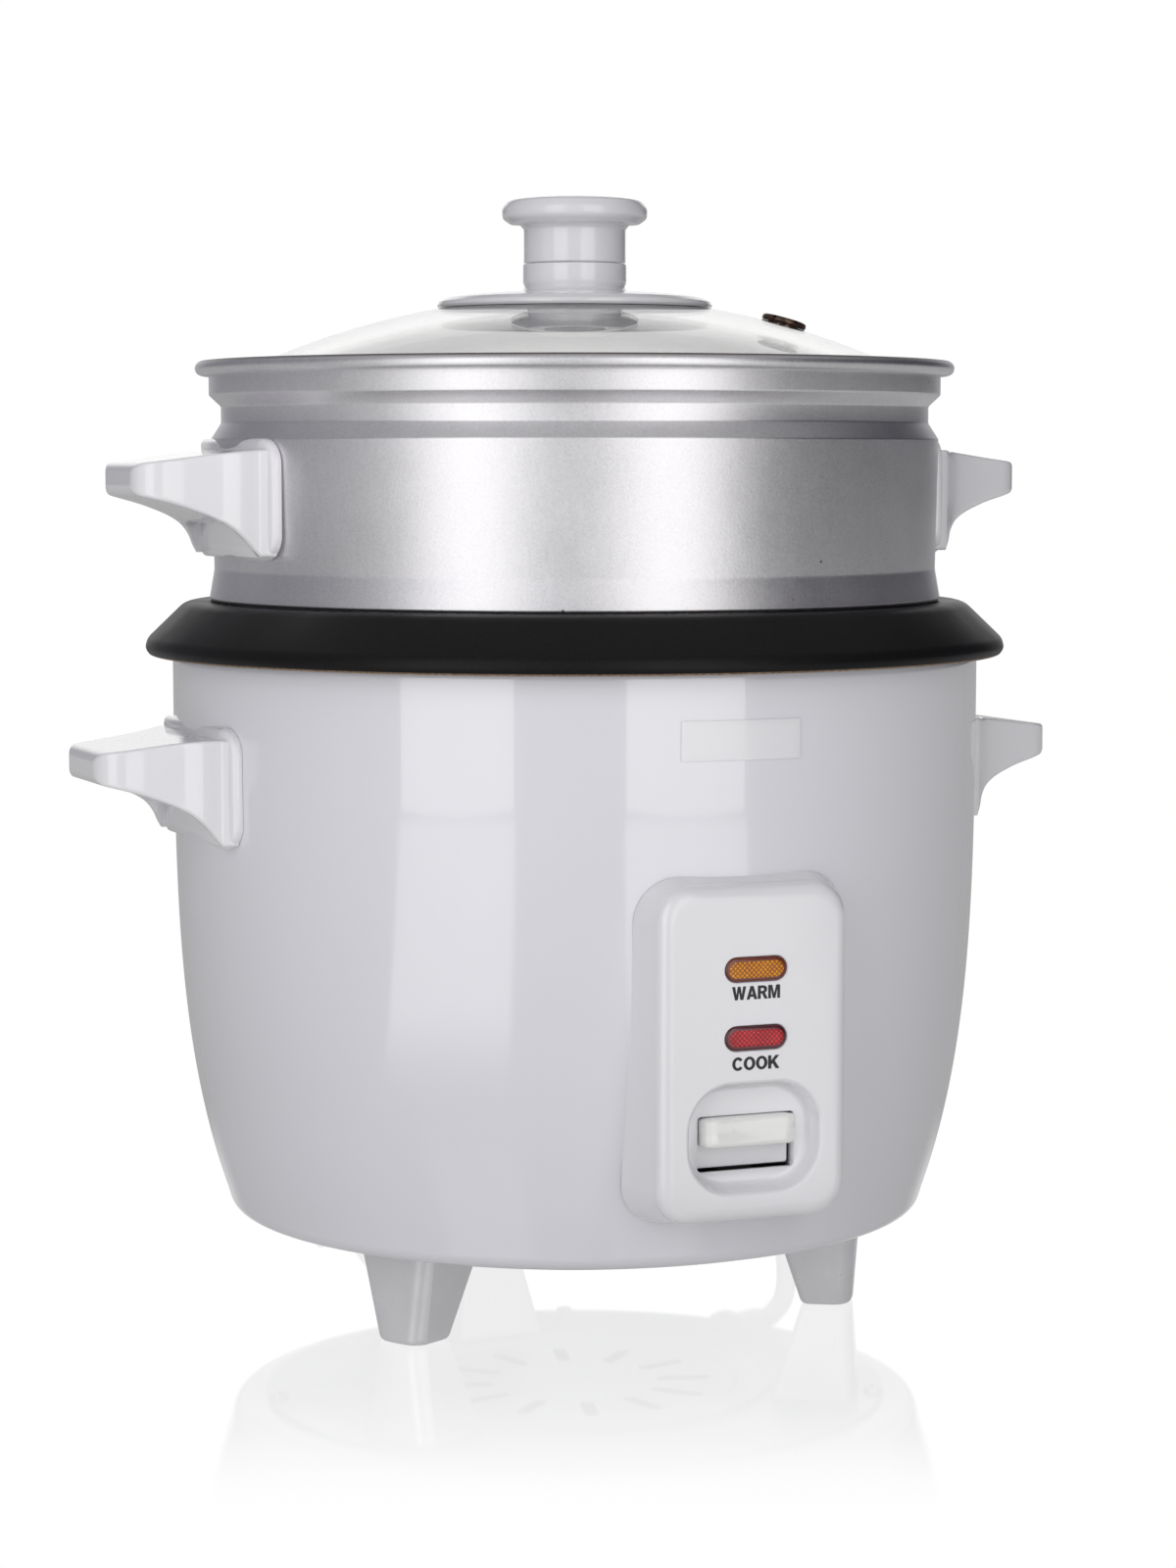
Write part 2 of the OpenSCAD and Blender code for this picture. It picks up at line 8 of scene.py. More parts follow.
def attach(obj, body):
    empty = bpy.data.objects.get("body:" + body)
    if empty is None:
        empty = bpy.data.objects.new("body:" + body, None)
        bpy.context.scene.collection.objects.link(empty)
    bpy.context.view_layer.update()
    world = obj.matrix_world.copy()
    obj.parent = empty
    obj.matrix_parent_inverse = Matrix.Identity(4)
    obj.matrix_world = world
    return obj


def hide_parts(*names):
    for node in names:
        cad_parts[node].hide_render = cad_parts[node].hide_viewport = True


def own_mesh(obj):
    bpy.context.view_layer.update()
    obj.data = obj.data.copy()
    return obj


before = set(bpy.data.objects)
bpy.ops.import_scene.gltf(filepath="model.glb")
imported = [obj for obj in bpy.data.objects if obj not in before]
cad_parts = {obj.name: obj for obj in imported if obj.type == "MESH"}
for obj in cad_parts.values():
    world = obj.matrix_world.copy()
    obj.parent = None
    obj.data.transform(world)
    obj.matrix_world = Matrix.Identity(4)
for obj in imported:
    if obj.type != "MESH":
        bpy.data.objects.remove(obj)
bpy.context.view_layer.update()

SC = bpy.context.scene
MM = 0.001
TAU = 2 * math.pi

# ------------------------------------------------------------------ camera
AZ = math.radians(22.3)
DIST, EYE = 1.0623, 0.2443
to_axis = Vector((math.sin(AZ), math.cos(AZ), 0))
to_right = Vector((math.cos(AZ), -math.sin(AZ), 0))
cam_data = bpy.data.cameras.new("camera")
cam_data.lens = 84.8
cam_data.sensor_width = 36
cam_data.sensor_fit = "AUTO"
cam_data.clip_start, cam_data.clip_end = 0.05, 60
cam = bpy.data.objects.new("camera", cam_data)
SC.collection.objects.link(cam)
cam.location = -to_axis * DIST + Vector((0, 0, EYE))
yaw, pitch = math.radians(0.205), math.radians(5.125)
aim = (to_axis * math.cos(yaw) + to_right * math.sin(yaw)) * math.cos(pitch) - Vector((0, 0, math.sin(pitch)))
cam.rotation_mode = "QUATERNION"
cam.rotation_quaternion = aim.to_track_quat("-Z", "Y")
SC.camera = cam
SC.view_settings.view_transform = "Standard"
SC.view_settings.look = "None"


# ------------------------------------------------------------------ node helpers
def new_mat(name):
    m = bpy.data.materials.new(name)
    m.use_nodes = True
    nt = m.node_tree
    p = nt.nodes["Principled BSDF"]
    return m, nt, p


def node(nt, kind, **values):
    n = nt.nodes.new(kind)
    for k, v in values.items():
        if k.startswith("in_"):
            key = k[3:]
            n.inputs[int(key) if key.isdigit() else key.replace("_", " ")].default_value = v
        else:
            setattr(n, k, v)
    return n


def ramp(nt, source, stops):
    r = nt.nodes.new("ShaderNodeValToRGB")
    while len(r.color_ramp.elements) < len(stops):
        r.color_ramp.elements.new(0.5)
    for e, (pos, col) in zip(r.color_ramp.elements, stops):
        e.position = pos
        e.color = (*col, 1) if len(col) == 3 else col
    nt.links.new(source, r.inputs[0])
    return r.outputs[0]


def spread(col, d):
    return tuple(max(0.0, min(1.0, c * (1 + d))) for c in col)


def coords(nt):
    return nt.nodes.new("ShaderNodeTexCoord").outputs["Object"]


def noise(nt, scale, detail=3.0, rough=0.55, vector=None, distortion=0.0):
    n = node(nt, "ShaderNodeTexNoise", in_Scale=scale, in_Detail=detail, in_Roughness=rough, in_Distortion=distortion)
    nt.links.new(vector if vector is not None else coords(nt), n.inputs["Vector"])
    return n.outputs["Fac"]


def remap(nt, source, lo, hi, a=0.3, b=0.7):
    n = node(nt, "ShaderNodeMapRange", in_1=a, in_2=b, in_3=lo, in_4=hi)
    nt.links.new(source, n.inputs[0])
    return n.outputs[0]


def bump(nt, p, height, strength, distance, prev=None):
    b = node(nt, "ShaderNodeBump", in_Strength=strength, in_Distance=distance)
    nt.links.new(height, b.inputs["Height"])
    if prev is not None:
        nt.links.new(prev, b.inputs["Normal"])
    nt.links.new(b.outputs[0], p.inputs["Normal"])
    return b.outputs[0]


def wrap_coords(nt, radius, around, along):
    """Object coordinates, stretched by one factor across the Z axis and by another along it."""
    sep = nt.nodes.new("ShaderNodeSeparateXYZ")
    nt.links.new(coords(nt), sep.inputs[0])
    # seamless: the position across the axis times a large factor
    comb = nt.nodes.new("ShaderNodeCombineXYZ")
    for i, (axis, f) in enumerate(((0, around), (1, around), (2, along))):
        m = node(nt, "ShaderNodeMath", operation="MULTIPLY", in_1=f)
        nt.links.new(sep.outputs[axis], m.inputs[0])
        nt.links.new(m.outputs[0], comb.inputs[i])
    return comb.outputs[0]


def surface(name, col, rough, metal=0.0, vary=0.03, vary_scale=30.0, rough_vary=0.03, coat=0.0, coat_rough=0.04,
            grain=600.0, grain_strength=0.05, grain_depth=0.0002, specular=0.5, subsurface=0.0, ior=1.5, big=None, coat_ior=1.5):
    m, nt, p = new_mat(name)
    f = noise(nt, vary_scale, 4.0)
    nt.links.new(ramp(nt, f, [(0.3, spread(col, -vary)), (0.7, spread(col, vary))]), p.inputs["Base Color"])
    nt.links.new(remap(nt, noise(nt, vary_scale * 2.7, 3.0), max(0.0, rough - rough_vary), rough + rough_vary), p.inputs["Roughness"])
    p.inputs["Metallic"].default_value = metal
    p.inputs["Coat Weight"].default_value = coat
    p.inputs["Coat Roughness"].default_value = coat_rough
    p.inputs["Coat IOR"].default_value = coat_ior
    p.inputs["Specular IOR Level"].default_value = specular
    p.inputs["IOR"].default_value = ior
    if subsurface:
        p.inputs["Subsurface Weight"].default_value = subsurface
        p.inputs["Subsurface Radius"].default_value = (0.004, 0.004, 0.004)
        p.inputs["Subsurface Scale"].default_value = 0.5
    prev = None
    if big:
        prev = bump(nt, p, noise(nt, big[0], 2.0), big[1], big[2])
    bump(nt, p, noise(nt, grain, 2.0), grain_strength, grain_depth, prev)
    return m


M = {}
M["enamel"] = surface("enamel_white", (0.785, 0.78, 0.83), 0.16, vary=0.012, vary_scale=9, rough_vary=0.02, coat=1.0, coat_rough=0.035, coat_ior=1.7,
                      grain=420, grain_strength=0.05, grain_depth=0.00008, big=(70, 0.05, 0.0002))
M["plastic"] = surface("gloss_white_plastic", (0.845, 0.84, 0.87), 0.14, vary=0.012, vary_scale=25, rough_vary=0.03, coat=0.85, coat_rough=0.03,
                       grain=900, grain_strength=0.05, grain_depth=0.00005, subsurface=0.06)
M["paddle"] = surface("ivory_paddle", (0.90, 0.905, 0.885), 0.18, vary=0.02, coat=0.8, coat_rough=0.05, grain=1200, grain_strength=0.06,
                      grain_depth=0.00005, subsurface=0.08)
M["feet"] = surface("silver_paint", (0.79, 0.79, 0.81), 0.32, metal=0.5, vary=0.04, vary_scale=60, rough_vary=0.05, coat=0.25, coat_rough=0.2,
                    grain=2600, grain_strength=0.18, grain_depth=0.00008)
M["steel"] = surface("sheet_steel", (0.56, 0.57, 0.58), 0.34, metal=1.0, vary=0.08, vary_scale=18, rough_vary=0.08, grain=900, grain_strength=0.08)
M["cast"] = surface("cast_aluminium", (0.62, 0.62, 0.63), 0.46, metal=0.9, vary=0.07, vary_scale=35, rough_vary=0.08, grain=700,
                    grain_strength=0.28, grain_depth=0.0003)
M["spring"] = surface("spring_steel", (0.45, 0.45, 0.47), 0.26, metal=1.0, vary=0.05, rough_vary=0.05)
M["ferrite"] = surface("ferrite", (0.05, 0.05, 0.055), 0.62, vary=0.2, vary_scale=120, grain=1500, grain_strength=0.3)
M["magnet"] = surface("magnet", (0.16, 0.16, 0.17), 0.45, metal=0.7, vary=0.15, vary_scale=60, grain=1200, grain_strength=0.2)
M["oxide"] = surface("blackened_steel", (0.035, 0.035, 0.038), 0.5, metal=0.6, vary=0.2, vary_scale=80, grain=1200, grain_strength=0.2)
M["black"] = surface("black_nylon", (0.018, 0.018, 0.02), 0.5, vary=0.15, grain=1600, grain_strength=0.2)
M["mica"] = surface("mica_sheet", (0.55, 0.45, 0.30), 0.55, vary=0.18, vary_scale=140, grain=900, grain_strength=0.3)
M["sleeve"] = surface("wire_sleeve", (0.66, 0.64, 0.58), 0.6, vary=0.08, vary_scale=220, grain=2200, grain_strength=0.5)
M["cord"] = surface("cord_pvc", (0.74, 0.74, 0.75), 0.42, vary=0.03, vary_scale=40, grain=1500, grain_strength=0.12, specular=0.45)
M["lamp"] = surface("lamp_glass", (0.80, 0.55, 0.32), 0.12, vary=0.1, coat=0.6)
M["pin"] = surface("nickel_pin", (0.72, 0.70, 0.66), 0.2, metal=1.0, vary=0.05, rough_vary=0.06, grain=1400, grain_strength=0.06)
M["bronze"] = surface("bare_lip", (0.30, 0.205, 0.13), 0.5, metal=0.75, vary=0.5, vary_scale=900, grain=2000, grain_strength=0.5)
M["grommet"] = surface("vent_bronze", (0.085, 0.045, 0.03), 0.28, metal=0.65, vary=0.3, vary_scale=200, rough_vary=0.08, coat=0.3, grain=1500)
M["ink"] = surface("label_ink", (0.018, 0.018, 0.022), 0.45, vary=0.08, vary_scale=600)


def nonstick_mat():
    m, nt, p = new_mat("nonstick_black")
    speck = noise(nt, 1900, 2.0, 0.7)
    nt.links.new(ramp(nt, speck, [(0.35, (0.0052, 0.0046, 0.0048)), (0.62, (0.0075, 0.0068, 0.007)), (0.78, (0.018, 0.0165, 0.0165))]), p.inputs["Base Color"])
    nt.links.new(remap(nt, noise(nt, 45, 3.0), 0.36, 0.46), p.inputs["Roughness"])
    p.inputs["Specular IOR Level"].default_value = 0.18
    b = bump(nt, p, noise(nt, 1500, 2.0), 0.22, 0.00008)
    bump(nt, p, noise(nt, 120, 2.0), 0.05, 0.0003, b)
    return m


M["nonstick"] = nonstick_mat()


def steamer_mat():
    m, nt, p = new_mat("satin_aluminium")
    p.inputs["Metallic"].default_value = 1.0
    streak = noise(nt, 1.0, 4.0, 0.6, wrap_coords(nt, 0.104, 700, 120))
    cloud = noise(nt, 22, 4.0, 0.6)
    grain = noise(nt, 1500, 3.0, 0.7)
    mix = node(nt, "ShaderNodeMix", data_type="FLOAT", in_0=0.75)
    nt.links.new(streak, mix.inputs[2])
    nt.links.new(cloud, mix.inputs[3])
    mix2 = node(nt, "ShaderNodeMix", data_type="FLOAT", in_0=0.5)
    nt.links.new(mix.outputs[0], mix2.inputs[2])
    nt.links.new(grain, mix2.inputs[3])
    tone = ramp(nt, mix2.outputs[0], [(0.36, (0.74, 0.73, 0.75)), (0.5, (0.83, 0.82, 0.84)), (0.64, (0.90, 0.89, 0.905))])
    # rare short scratches round the wall and small dark pits
    sc = node(nt, "ShaderNodeTexVoronoi", feature="DISTANCE_TO_EDGE", in_Scale=1.0, in_Randomness=1.0)
    nt.links.new(wrap_coords(nt, 0.104, 30, 420), sc.inputs["Vector"])
    line_h = remap(nt, sc.outputs["Distance"], 1.0, 0.0, 0.0, 0.012)
    pit = node(nt, "ShaderNodeTexVoronoi", in_Scale=95.0, in_Randomness=1.0)
    nt.links.new(coords(nt), pit.inputs["Vector"])
    dot = remap(nt, pit.outputs["Distance"], 1.0, 0.0, 0.02, 0.05)
    rare = remap(nt, noise(nt, 60, 1.0), 0.0, 1.0, 0.60, 0.66)
    dots = node(nt, "ShaderNodeMath", operation="MULTIPLY")
    nt.links.new(dot, dots.inputs[0])
    nt.links.new(rare, dots.inputs[1])
    dark = node(nt, "ShaderNodeMix", data_type="RGBA")
    nt.links.new(dots.outputs[0], dark.inputs[0])
    nt.links.new(tone, dark.inputs[6])
    dark.inputs[7].default_value = (0.20, 0.18, 0.18, 1)
    # painted shade: a darker line along the rolled rim's crest, standing in for the shade on its top
    sep = nt.nodes.new("ShaderNodeSeparateXYZ")
    nt.links.new(coords(nt), sep.inputs[0])
    crest_shade_mask = remap(nt, sep.outputs[2], 0.0, 1.0, 0.26925, 0.26985)
    crest_shade = node(nt, "ShaderNodeMix", data_type="RGBA")
    nt.links.new(crest_shade_mask, crest_shade.inputs[0])
    nt.links.new(dark.outputs[2], crest_shade.inputs[6])
    # colour of the painted shade on the crest
    crest_shade.inputs[7].default_value = (0.16, 0.12, 0.11, 1)
    nt.links.new(crest_shade.outputs[2], p.inputs["Base Color"])
    nt.links.new(remap(nt, mix2.outputs[0], 0.34, 0.44), p.inputs["Roughness"])
    b = bump(nt, p, streak, 0.08, 0.00008)
    b = bump(nt, p, grain, 0.42, 0.00009, b)
    bump(nt, p, line_h, 0.05, 0.00004, b)
    return m


M["steamer"] = steamer_mat()


def glass_mat():
    m, nt, p = new_mat("dome_glass")
    p.inputs["Base Color"].default_value = (0.995, 0.992, 0.985, 1)
    p.inputs["Transmission Weight"].default_value = 1.0
    p.inputs["IOR"].default_value = 1.39
    nt.links.new(remap(nt, noise(nt, 18, 3.0), 0.0, 0.015), p.inputs["Roughness"])
    bump(nt, p, noise(nt, 14, 1.0), 0.02, 0.0004)
    return m


M["glass"] = glass_mat()


def lens_mat(name, deep, mid, light, painted_glow):
    """Moulded lens with a fine honeycomb behind a clear face; the face also gives off a faint painted glow of its own
    colour.
    """
    m, nt, p = new_mat(name)
    cell = node(nt, "ShaderNodeTexVoronoi", feature="DISTANCE_TO_EDGE", in_Scale=1080.0, in_Randomness=0.12)
    turn = node(nt, "ShaderNodeMapping")
    turn.inputs["Rotation"].default_value = (0.0, math.radians(45), 0.0)
    nt.links.new(coords(nt), turn.inputs["Vector"])
    nt.links.new(turn.outputs[0], cell.inputs["Vector"])
    f = noise(nt, 130, 2.0)
    mixed = node(nt, "ShaderNodeMix", data_type="FLOAT", in_0=0.18)
    nt.links.new(cell.outputs["Distance"], mixed.inputs[2])
    nt.links.new(f, mixed.inputs[3])
    col = ramp(nt, mixed.outputs[0], [(0.10, deep), (0.22, mid), (0.42, light)])
    nt.links.new(col, p.inputs["Base Color"])
    nt.links.new(col, p.inputs["Emission Color"])
    # painted glow: the lens face emits its honeycomb colour though no lamp in the scene lights it
    p.inputs["Emission Strength"].default_value = painted_glow
    p.inputs["Roughness"].default_value = 0.28
    p.inputs["Specular IOR Level"].default_value = 0.25
    p.inputs["Coat Weight"].default_value = 0.35
    p.inputs["Coat Roughness"].default_value = 0.05
    p.inputs["Transmission Weight"].default_value = 0.12
    bump(nt, p, cell.outputs["Distance"], 0.35, 0.0004)
    return m


# the last number is each lens's painted glow
M["amber"] = lens_mat("amber_lens", (0.16, 0.025, 0.0), (0.58, 0.20, 0.0), (0.98, 0.50, 0.012), 0.17)
M["red"] = lens_mat("red_lens", (0.09, 0.002, 0.005), (0.45, 0.010, 0.020), (0.84, 0.065, 0.08), 0.14)
M["amber_edge"] = surface("amber_edge", (0.15, 0.020, 0.006), 0.2, vary=0.2, vary_scale=300, coat=0.8)
M["red_edge"] = surface("red_edge", (0.085, 0.006, 0.014), 0.2, vary=0.2, vary_scale=300, coat=0.8)


# ------------------------------------------------------------------ mesh helpers
def finish_mesh(name, me, mat, body, replaces=(), angle=35):
    bm = bmesh.new()
    bm.from_mesh(me)
    bmesh.ops.remove_doubles(bm, verts=bm.verts, dist=1e-7)
    bmesh.ops.dissolve_degenerate(bm, dist=1e-8, edges=bm.edges)
    bmesh.ops.recalc_face_normals(bm, faces=bm.faces)
    bm.to_mesh(me)
    bm.free()
    o = bpy.data.objects.new(name, me)
    SC.collection.objects.link(o)
    for mm in (mat if isinstance(mat, (list, tuple)) else [mat]):
        me.materials.append(mm)
    me.shade_smooth()
    me.set_sharp_from_angle(angle=math.radians(angle))
    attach(o, body)
    if replaces:
        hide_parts(*replaces)
    return o


def build(name, verts, faces, mat, body, replaces=(), angle=35):
    me = bpy.data.meshes.new(name)
    me.from_pydata([tuple(c * MM for c in v) for v in verts], [], faces)
    me.update()
    return finish_mesh(name, me, mat, body, replaces, angle)


def fillet(pts, closed=False, seg=6):
    """Rounds the corners of a 2-D line. A point may carry a third value, its radius."""
    out, n = [], len(pts)
    for i, q in enumerate(pts):
        r = q[2] if len(q) > 2 else 0
        p = Vector(q[:2])
        if r <= 0 or (not closed and i in (0, n - 1)):
            out.append((p.x, p.y))
            continue
        a = Vector(pts[i - 1][:2]) - p
        b = Vector(pts[(i + 1) % n][:2]) - p
        la, lb = a.length, b.length
        if la < 1e-9 or lb < 1e-9:
            out.append((p.x, p.y))
            continue
        a, b = a / la, b / lb
        cosv = max(-1, min(1, a.dot(b)))
        half = math.acos(cosv) / 2
        if half > math.radians(89.5):
            out.append((p.x, p.y))
            continue
        d = min(r / math.tan(half), 0.49 * la, 0.49 * lb)
        pa, pb = p + a * d, p + b * d
        w = math.sin(half)
        turn = math.pi - 2 * half
        k = max(3, int(seg * turn / (math.pi / 2)) + 2)
        for j in range(k + 1):
            t = j / k
            den = (1 - t) ** 2 + 2 * w * t * (1 - t) + t * t
            v = (pa * (1 - t) ** 2 + p * (2 * w * t * (1 - t)) + pb * t * t) / den
            out.append((v.x, v.y))
    return out


def lathe(name, prof, mat, body, n=192, replaces=(), angle=35, mats=None, build_only=False):
    """Solid of revolution round Z from a closed profile (r, z) in mm."""
    verts, rings = [], []
    for r, z in prof:
        if r < 1e-6:
            rings.append([len(verts)])
            verts.append((0, 0, z))
        else:
            s = len(verts)
            rings.append(list(range(s, s + n)))
            verts += [(r * math.cos(TAU * i / n), r * math.sin(TAU * i / n), z) for i in range(n)]
    faces, tags = [], []
    m = len(rings)
    for k in range(m):
        a, b = rings[k], rings[(k + 1) % m]
        if len(a) == 1 and len(b) == 1:
            continue
        for i in range(n):
            j = (i + 1) % n
            if len(a) == 1:
                faces.append((a[0], b[i], b[j]))
            elif len(b) == 1:
                faces.append((a[i], b[0], a[j]))
            else:
                faces.append((a[i], b[i], b[j], a[j]))
            tags.append(k)
    if build_only:
        return verts, faces
    me = bpy.data.meshes.new(name)
    me.from_pydata([tuple(c * MM for c in v) for v in verts], [], faces)
    if mats:
        for f, k in zip(me.polygons, tags):
            f.material_index = mats(prof[k], prof[(k + 1) % m])
    me.update()
    return finish_mesh(name, me, mat, body, replaces, angle)


def cut(o, others, keep_sharp=35):
    """Takes solids out of a piece for good, and removes them."""
    if not others:
        return o
    for c in others:
        md = o.modifiers.new("cut", "BOOLEAN")
        md.operation, md.solver, md.object = "DIFFERENCE", "EXACT", c
    bpy.context.view_layer.update()
    dg = bpy.context.evaluated_depsgraph_get()
    me = bpy.data.meshes.new_from_object(o.evaluated_get(dg))
    o.modifiers.clear()
    old = o.data
    o.data = me
    bpy.data.meshes.remove(old)
    me.shade_smooth()
    me.set_sharp_from_angle(angle=math.radians(keep_sharp))
    for c in others:
        bpy.data.objects.remove(c)
    return o


def tool(verts, faces):
    me = bpy.data.meshes.new("tool")
    me.from_pydata([tuple(c * MM for c in v) for v in verts], [], faces)
    bm = bmesh.new()
    bm.from_mesh(me)
    bmesh.ops.recalc_face_normals(bm, faces=bm.faces)
    bm.to_mesh(me)
    bm.free()
    o = bpy.data.objects.new("tool", me)
    SC.collection.objects.link(o)
    return o


def prism_y(outline, y0, y1):
    n = len(outline)
    v = [(x, y0, z) for x, z in outline] + [(x, y1, z) for x, z in outline]
    f = [tuple(range(n)), tuple(range(2 * n - 1, n - 1, -1))] + [(i, (i + 1) % n, n + (i + 1) % n, n + i) for i in range(n)]
    return v, f


def rod(p0, p1, r, n=32):
    a, b = Vector(p0), Vector(p1)
    q = (b - a).to_track_quat("Z", "Y")
    ring = [q @ Vector((r * math.cos(TAU * i / n), r * math.sin(TAU * i / n), 0)) for i in range(n)]
    v = [tuple(a + c) for c in ring] + [tuple(b + c) for c in ring]
    f = [tuple(range(n)), tuple(range(2 * n - 1, n - 1, -1))] + [(i, (i + 1) % n, n + (i + 1) % n, n + i) for i in range(n)]
    return v, f


def joined(parts):
    v, f = [], []
    for pv, pf in parts:
        s = len(v)
        v += pv
        f += [tuple(i + s for i in face) for face in pf]
    return v, f


def round_rect(w, h, r, seg=8, cx=0.0, cz=0.0):
    pts = []
    for qx, qz, a0 in ((1, 1, 0), (-1, 1, 90), (-1, -1, 180), (1, -1, 270)):
        for j in range(seg + 1):
            a = math.radians(a0 + 90 * j / seg)
            pts.append((cx + qx * (w / 2 - r) + r * math.cos(a), cz + qz * (h / 2 - r) + r * math.sin(a)))
    return pts


def loft(rings, cap0=True, cap1=True):
    """Rings of equal length, as 3-D points."""
    n = len(rings[0])
    v = [p for r in rings for p in r]
    f = []
    for k in range(len(rings) - 1):
        for i in range(n):
            j = (i + 1) % n
            f.append((k * n + i, k * n + j, (k + 1) * n + j, (k + 1) * n + i))
    if cap0:
        f.append(tuple(range(n - 1, -1, -1)))
    if cap1:
        s = (len(rings) - 1) * n
        f.append(tuple(s + i for i in range(n)))
    return v, f


def smooth(a, b, t):
    t = max(0.0, min(1.0, (t - a) / (b - a)))
    return t * t * (3 - 2 * t)


def catmull(keys, x):
    """Smooth value at x through (x, value) pairs."""
    n = len(keys)
    if x <= keys[0][0]:
        return keys[0][1]
    if x >= keys[-1][0]:
        return keys[-1][1]
    k = max(i for i in range(n - 1) if keys[i][0] <= x)
    x0, y0 = keys[k]
    x1, y1 = keys[k + 1]
    h = x1 - x0

    def slope(i):
        if i == 0:
            return (keys[1][1] - keys[0][1]) / (keys[1][0] - keys[0][0])
        if i == n - 1:
            return (keys[-1][1] - keys[-2][1]) / (keys[-1][0] - keys[-2][0])
        d0 = (keys[i][1] - keys[i - 1][1]) / (keys[i][0] - keys[i - 1][0])
        d1 = (keys[i + 1][1] - keys[i][1]) / (keys[i + 1][0] - keys[i][0])
        return 0 if d0 * d1 <= 0 else 2 * d0 * d1 / (d0 + d1)

    t = (x - x0) / h
    m0, m1 = slope(k) * h, slope(k + 1) * h
    return (2 * t**3 - 3 * t**2 + 1) * y0 + (t**3 - 2 * t**2 + t) * m0 + (-2 * t**3 + 3 * t**2) * y1 + (t**3 - t**2) * m1


# ------------------------------------------------------------------ mains cord
CORD_D = 6.5
COIL = (81.0, 156.0)
R_IN, R_OUT = 35.3, 42.0
ROUTE = [(96, 80.5, 36), (101, 84.7, 35.9), (106, 88.8, 35.4), (113, 95.5, 32.6), (118, 103.5, 27.4), (121.3, 112, 19.8),
         (122.8, 121, 12.1), (123, 130, 7.2), (123, 139, 4.6), (123, 147, 3.8)]
TAIL = [(60, 192.4, 10.4), (51, 187.2, 11.6), (43.5, 182.9, 12.9), (36.6, 178.9, 13)]
PLUG_AT, PLUG_A = (36.6, 178.9, 13.0), math.radians(210)


def through(points, per):
    """Smooth curve through points, as a centripetal-free Catmull-Rom line."""
    out, n = [], len(points)
    P = [Vector(p) for p in points]
    for i in range(n - 1):
        p0 = P[i - 1] if i else P[0] * 2 - P[1]
        p1, p2 = P[i], P[i + 1]
        p3 = P[i + 2] if i + 2 < n else P[-1] * 2 - P[-2]
        for j in range(per):
            t = j / per
            out.append(0.5 * ((2 * p1) + (p2 - p0) * t + (2 * p0 - 5 * p1 + 4 * p2 - p3) * t * t + (3 * p1 - p0 - 3 * p2 + p3) * t**3))
    out.append(P[-1])
    return out


def coil_point(deg):
    r = R_OUT - (R_OUT - R_IN) * smooth(300, 360, deg) + (R_OUT - R_IN) * smooth(900, 960, deg)
    z = 3.8 + 6.6 * smooth(596, 664, deg)
    a = math.radians(deg)
    return Vector((COIL[0] + r * math.cos(a), COIL[1] + r * math.sin(a), z))


coil_line = [coil_point(d) for d in range(0, 1201, 10)]
lead_in = through(ROUTE + [tuple(coil_line[0]), tuple(coil_line[1])], 4)
lead_in = lead_in[: (len(ROUTE)) * 4]
line = lead_in + coil_line[:-1] + through([tuple(coil_line[-2]), *TAIL], 4)[4:]
line = [p for i, p in enumerate(line) if i == 0 or (p - line[i - 1]).length > 0.2]
cv = bpy.data.curves.new("mains_cord", "CURVE")
cv.dimensions = "3D"
sp = cv.splines.new("POLY")
sp.points.add(len(line) - 1)
for q, p in zip(sp.points, line):
    q.co = (p.x * MM, p.y * MM, p.z * MM, 1)
cv.bevel_depth = CORD_D / 2 * MM
cv.bevel_resolution = 5
cv.use_fill_caps = True
sp.use_smooth = True
cord = bpy.data.objects.new("mains_cord", cv)
SC.collection.objects.link(cord)
cv.materials.append(M["cord"])
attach(cord, "root")
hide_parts("power_cord", "cord_coil", "cord_tail")


def place(pts, origin, direction):
    """Turns points made along +Z to run along a direction from an origin."""
    q = Vector(direction).normalized().to_track_quat("Z", "Y")
    return [tuple(Vector(origin) + q @ Vector(p)) for p in pts]


def turned(name, prof, origin, direction, mat, body, n=64, replaces=(), angle=35):
    v, f = lathe(name, prof, None, None, n, build_only=True)
    return build(name, place(v, origin, direction), f, mat, body, replaces, angle)


# Strain relief: collar, then a taper with cut rings that let it flex
ea = math.radians(40)
out_dir = (math.cos(ea), math.sin(ea), 0)
prof = [(0, 92), (7.4, 92), (8, 92.6), (8, 97), (6.1, 97.2), (6.1, 102.9), (8.4, 103), (8.6, 103.4), (8.6, 105), (8.2, 105.5), (6.6, 106.2)]
z, r = 107.0, 6.4
while z < 126:
    r = 6.4 - (z - 107) * 0.09
    prof += [(r, z), (r, z + 1.7), (r - 0.2, z + 1.9), (r - 1.3, z + 2.0), (r - 1.3, z + 2.9), (r - 0.3, z + 3.0)]
    z += 3.2
prof += [(4.5, 127.2), (4.3, 128), (3.25, 128), (3.25, 120), (0, 120)]
relief = turned("strain_relief_boot", prof, (0, 0, 36), out_dir, M["cord"], "root", 64, ["strain_relief"])

pd = (math.cos(PLUG_A), math.sin(PLUG_A), 0)
prof = [(0, 0.4), (3.25, 0.4), (3.25, 0), (4.0, 0), (4.3, 0.6)]
for k in range(4):
    z = 2.5 + 3.4 * k
    r = 4.4 + 0.105 * z
    prof += [(r, z), (r - 0.9, z + 0.4), (r - 0.9, z + 1.1), (r + 0.1, z + 1.5)]
prof += [(6.1, 16.4), (7.2, 18), (9.6, 20.6), (11.2, 24), (11.9, 27.5), (11.6, 30), (11.6, 32), (12.2, 33.2), (12.2, 34.4), (11.7, 35.2),
         (11.7, 36.4), (12.4, 37.6), (12.4, 38.8), (11.9, 39.6), (11.9, 40.8), (12.6, 42), (12.8, 44), (12.8, 49.4), (12.3, 50.6), (11.4, 51), (0, 51)]
plug = turned("plug_shell", prof, PLUG_AT, pd, M["cord"], "root", 72, ["plug_body"])

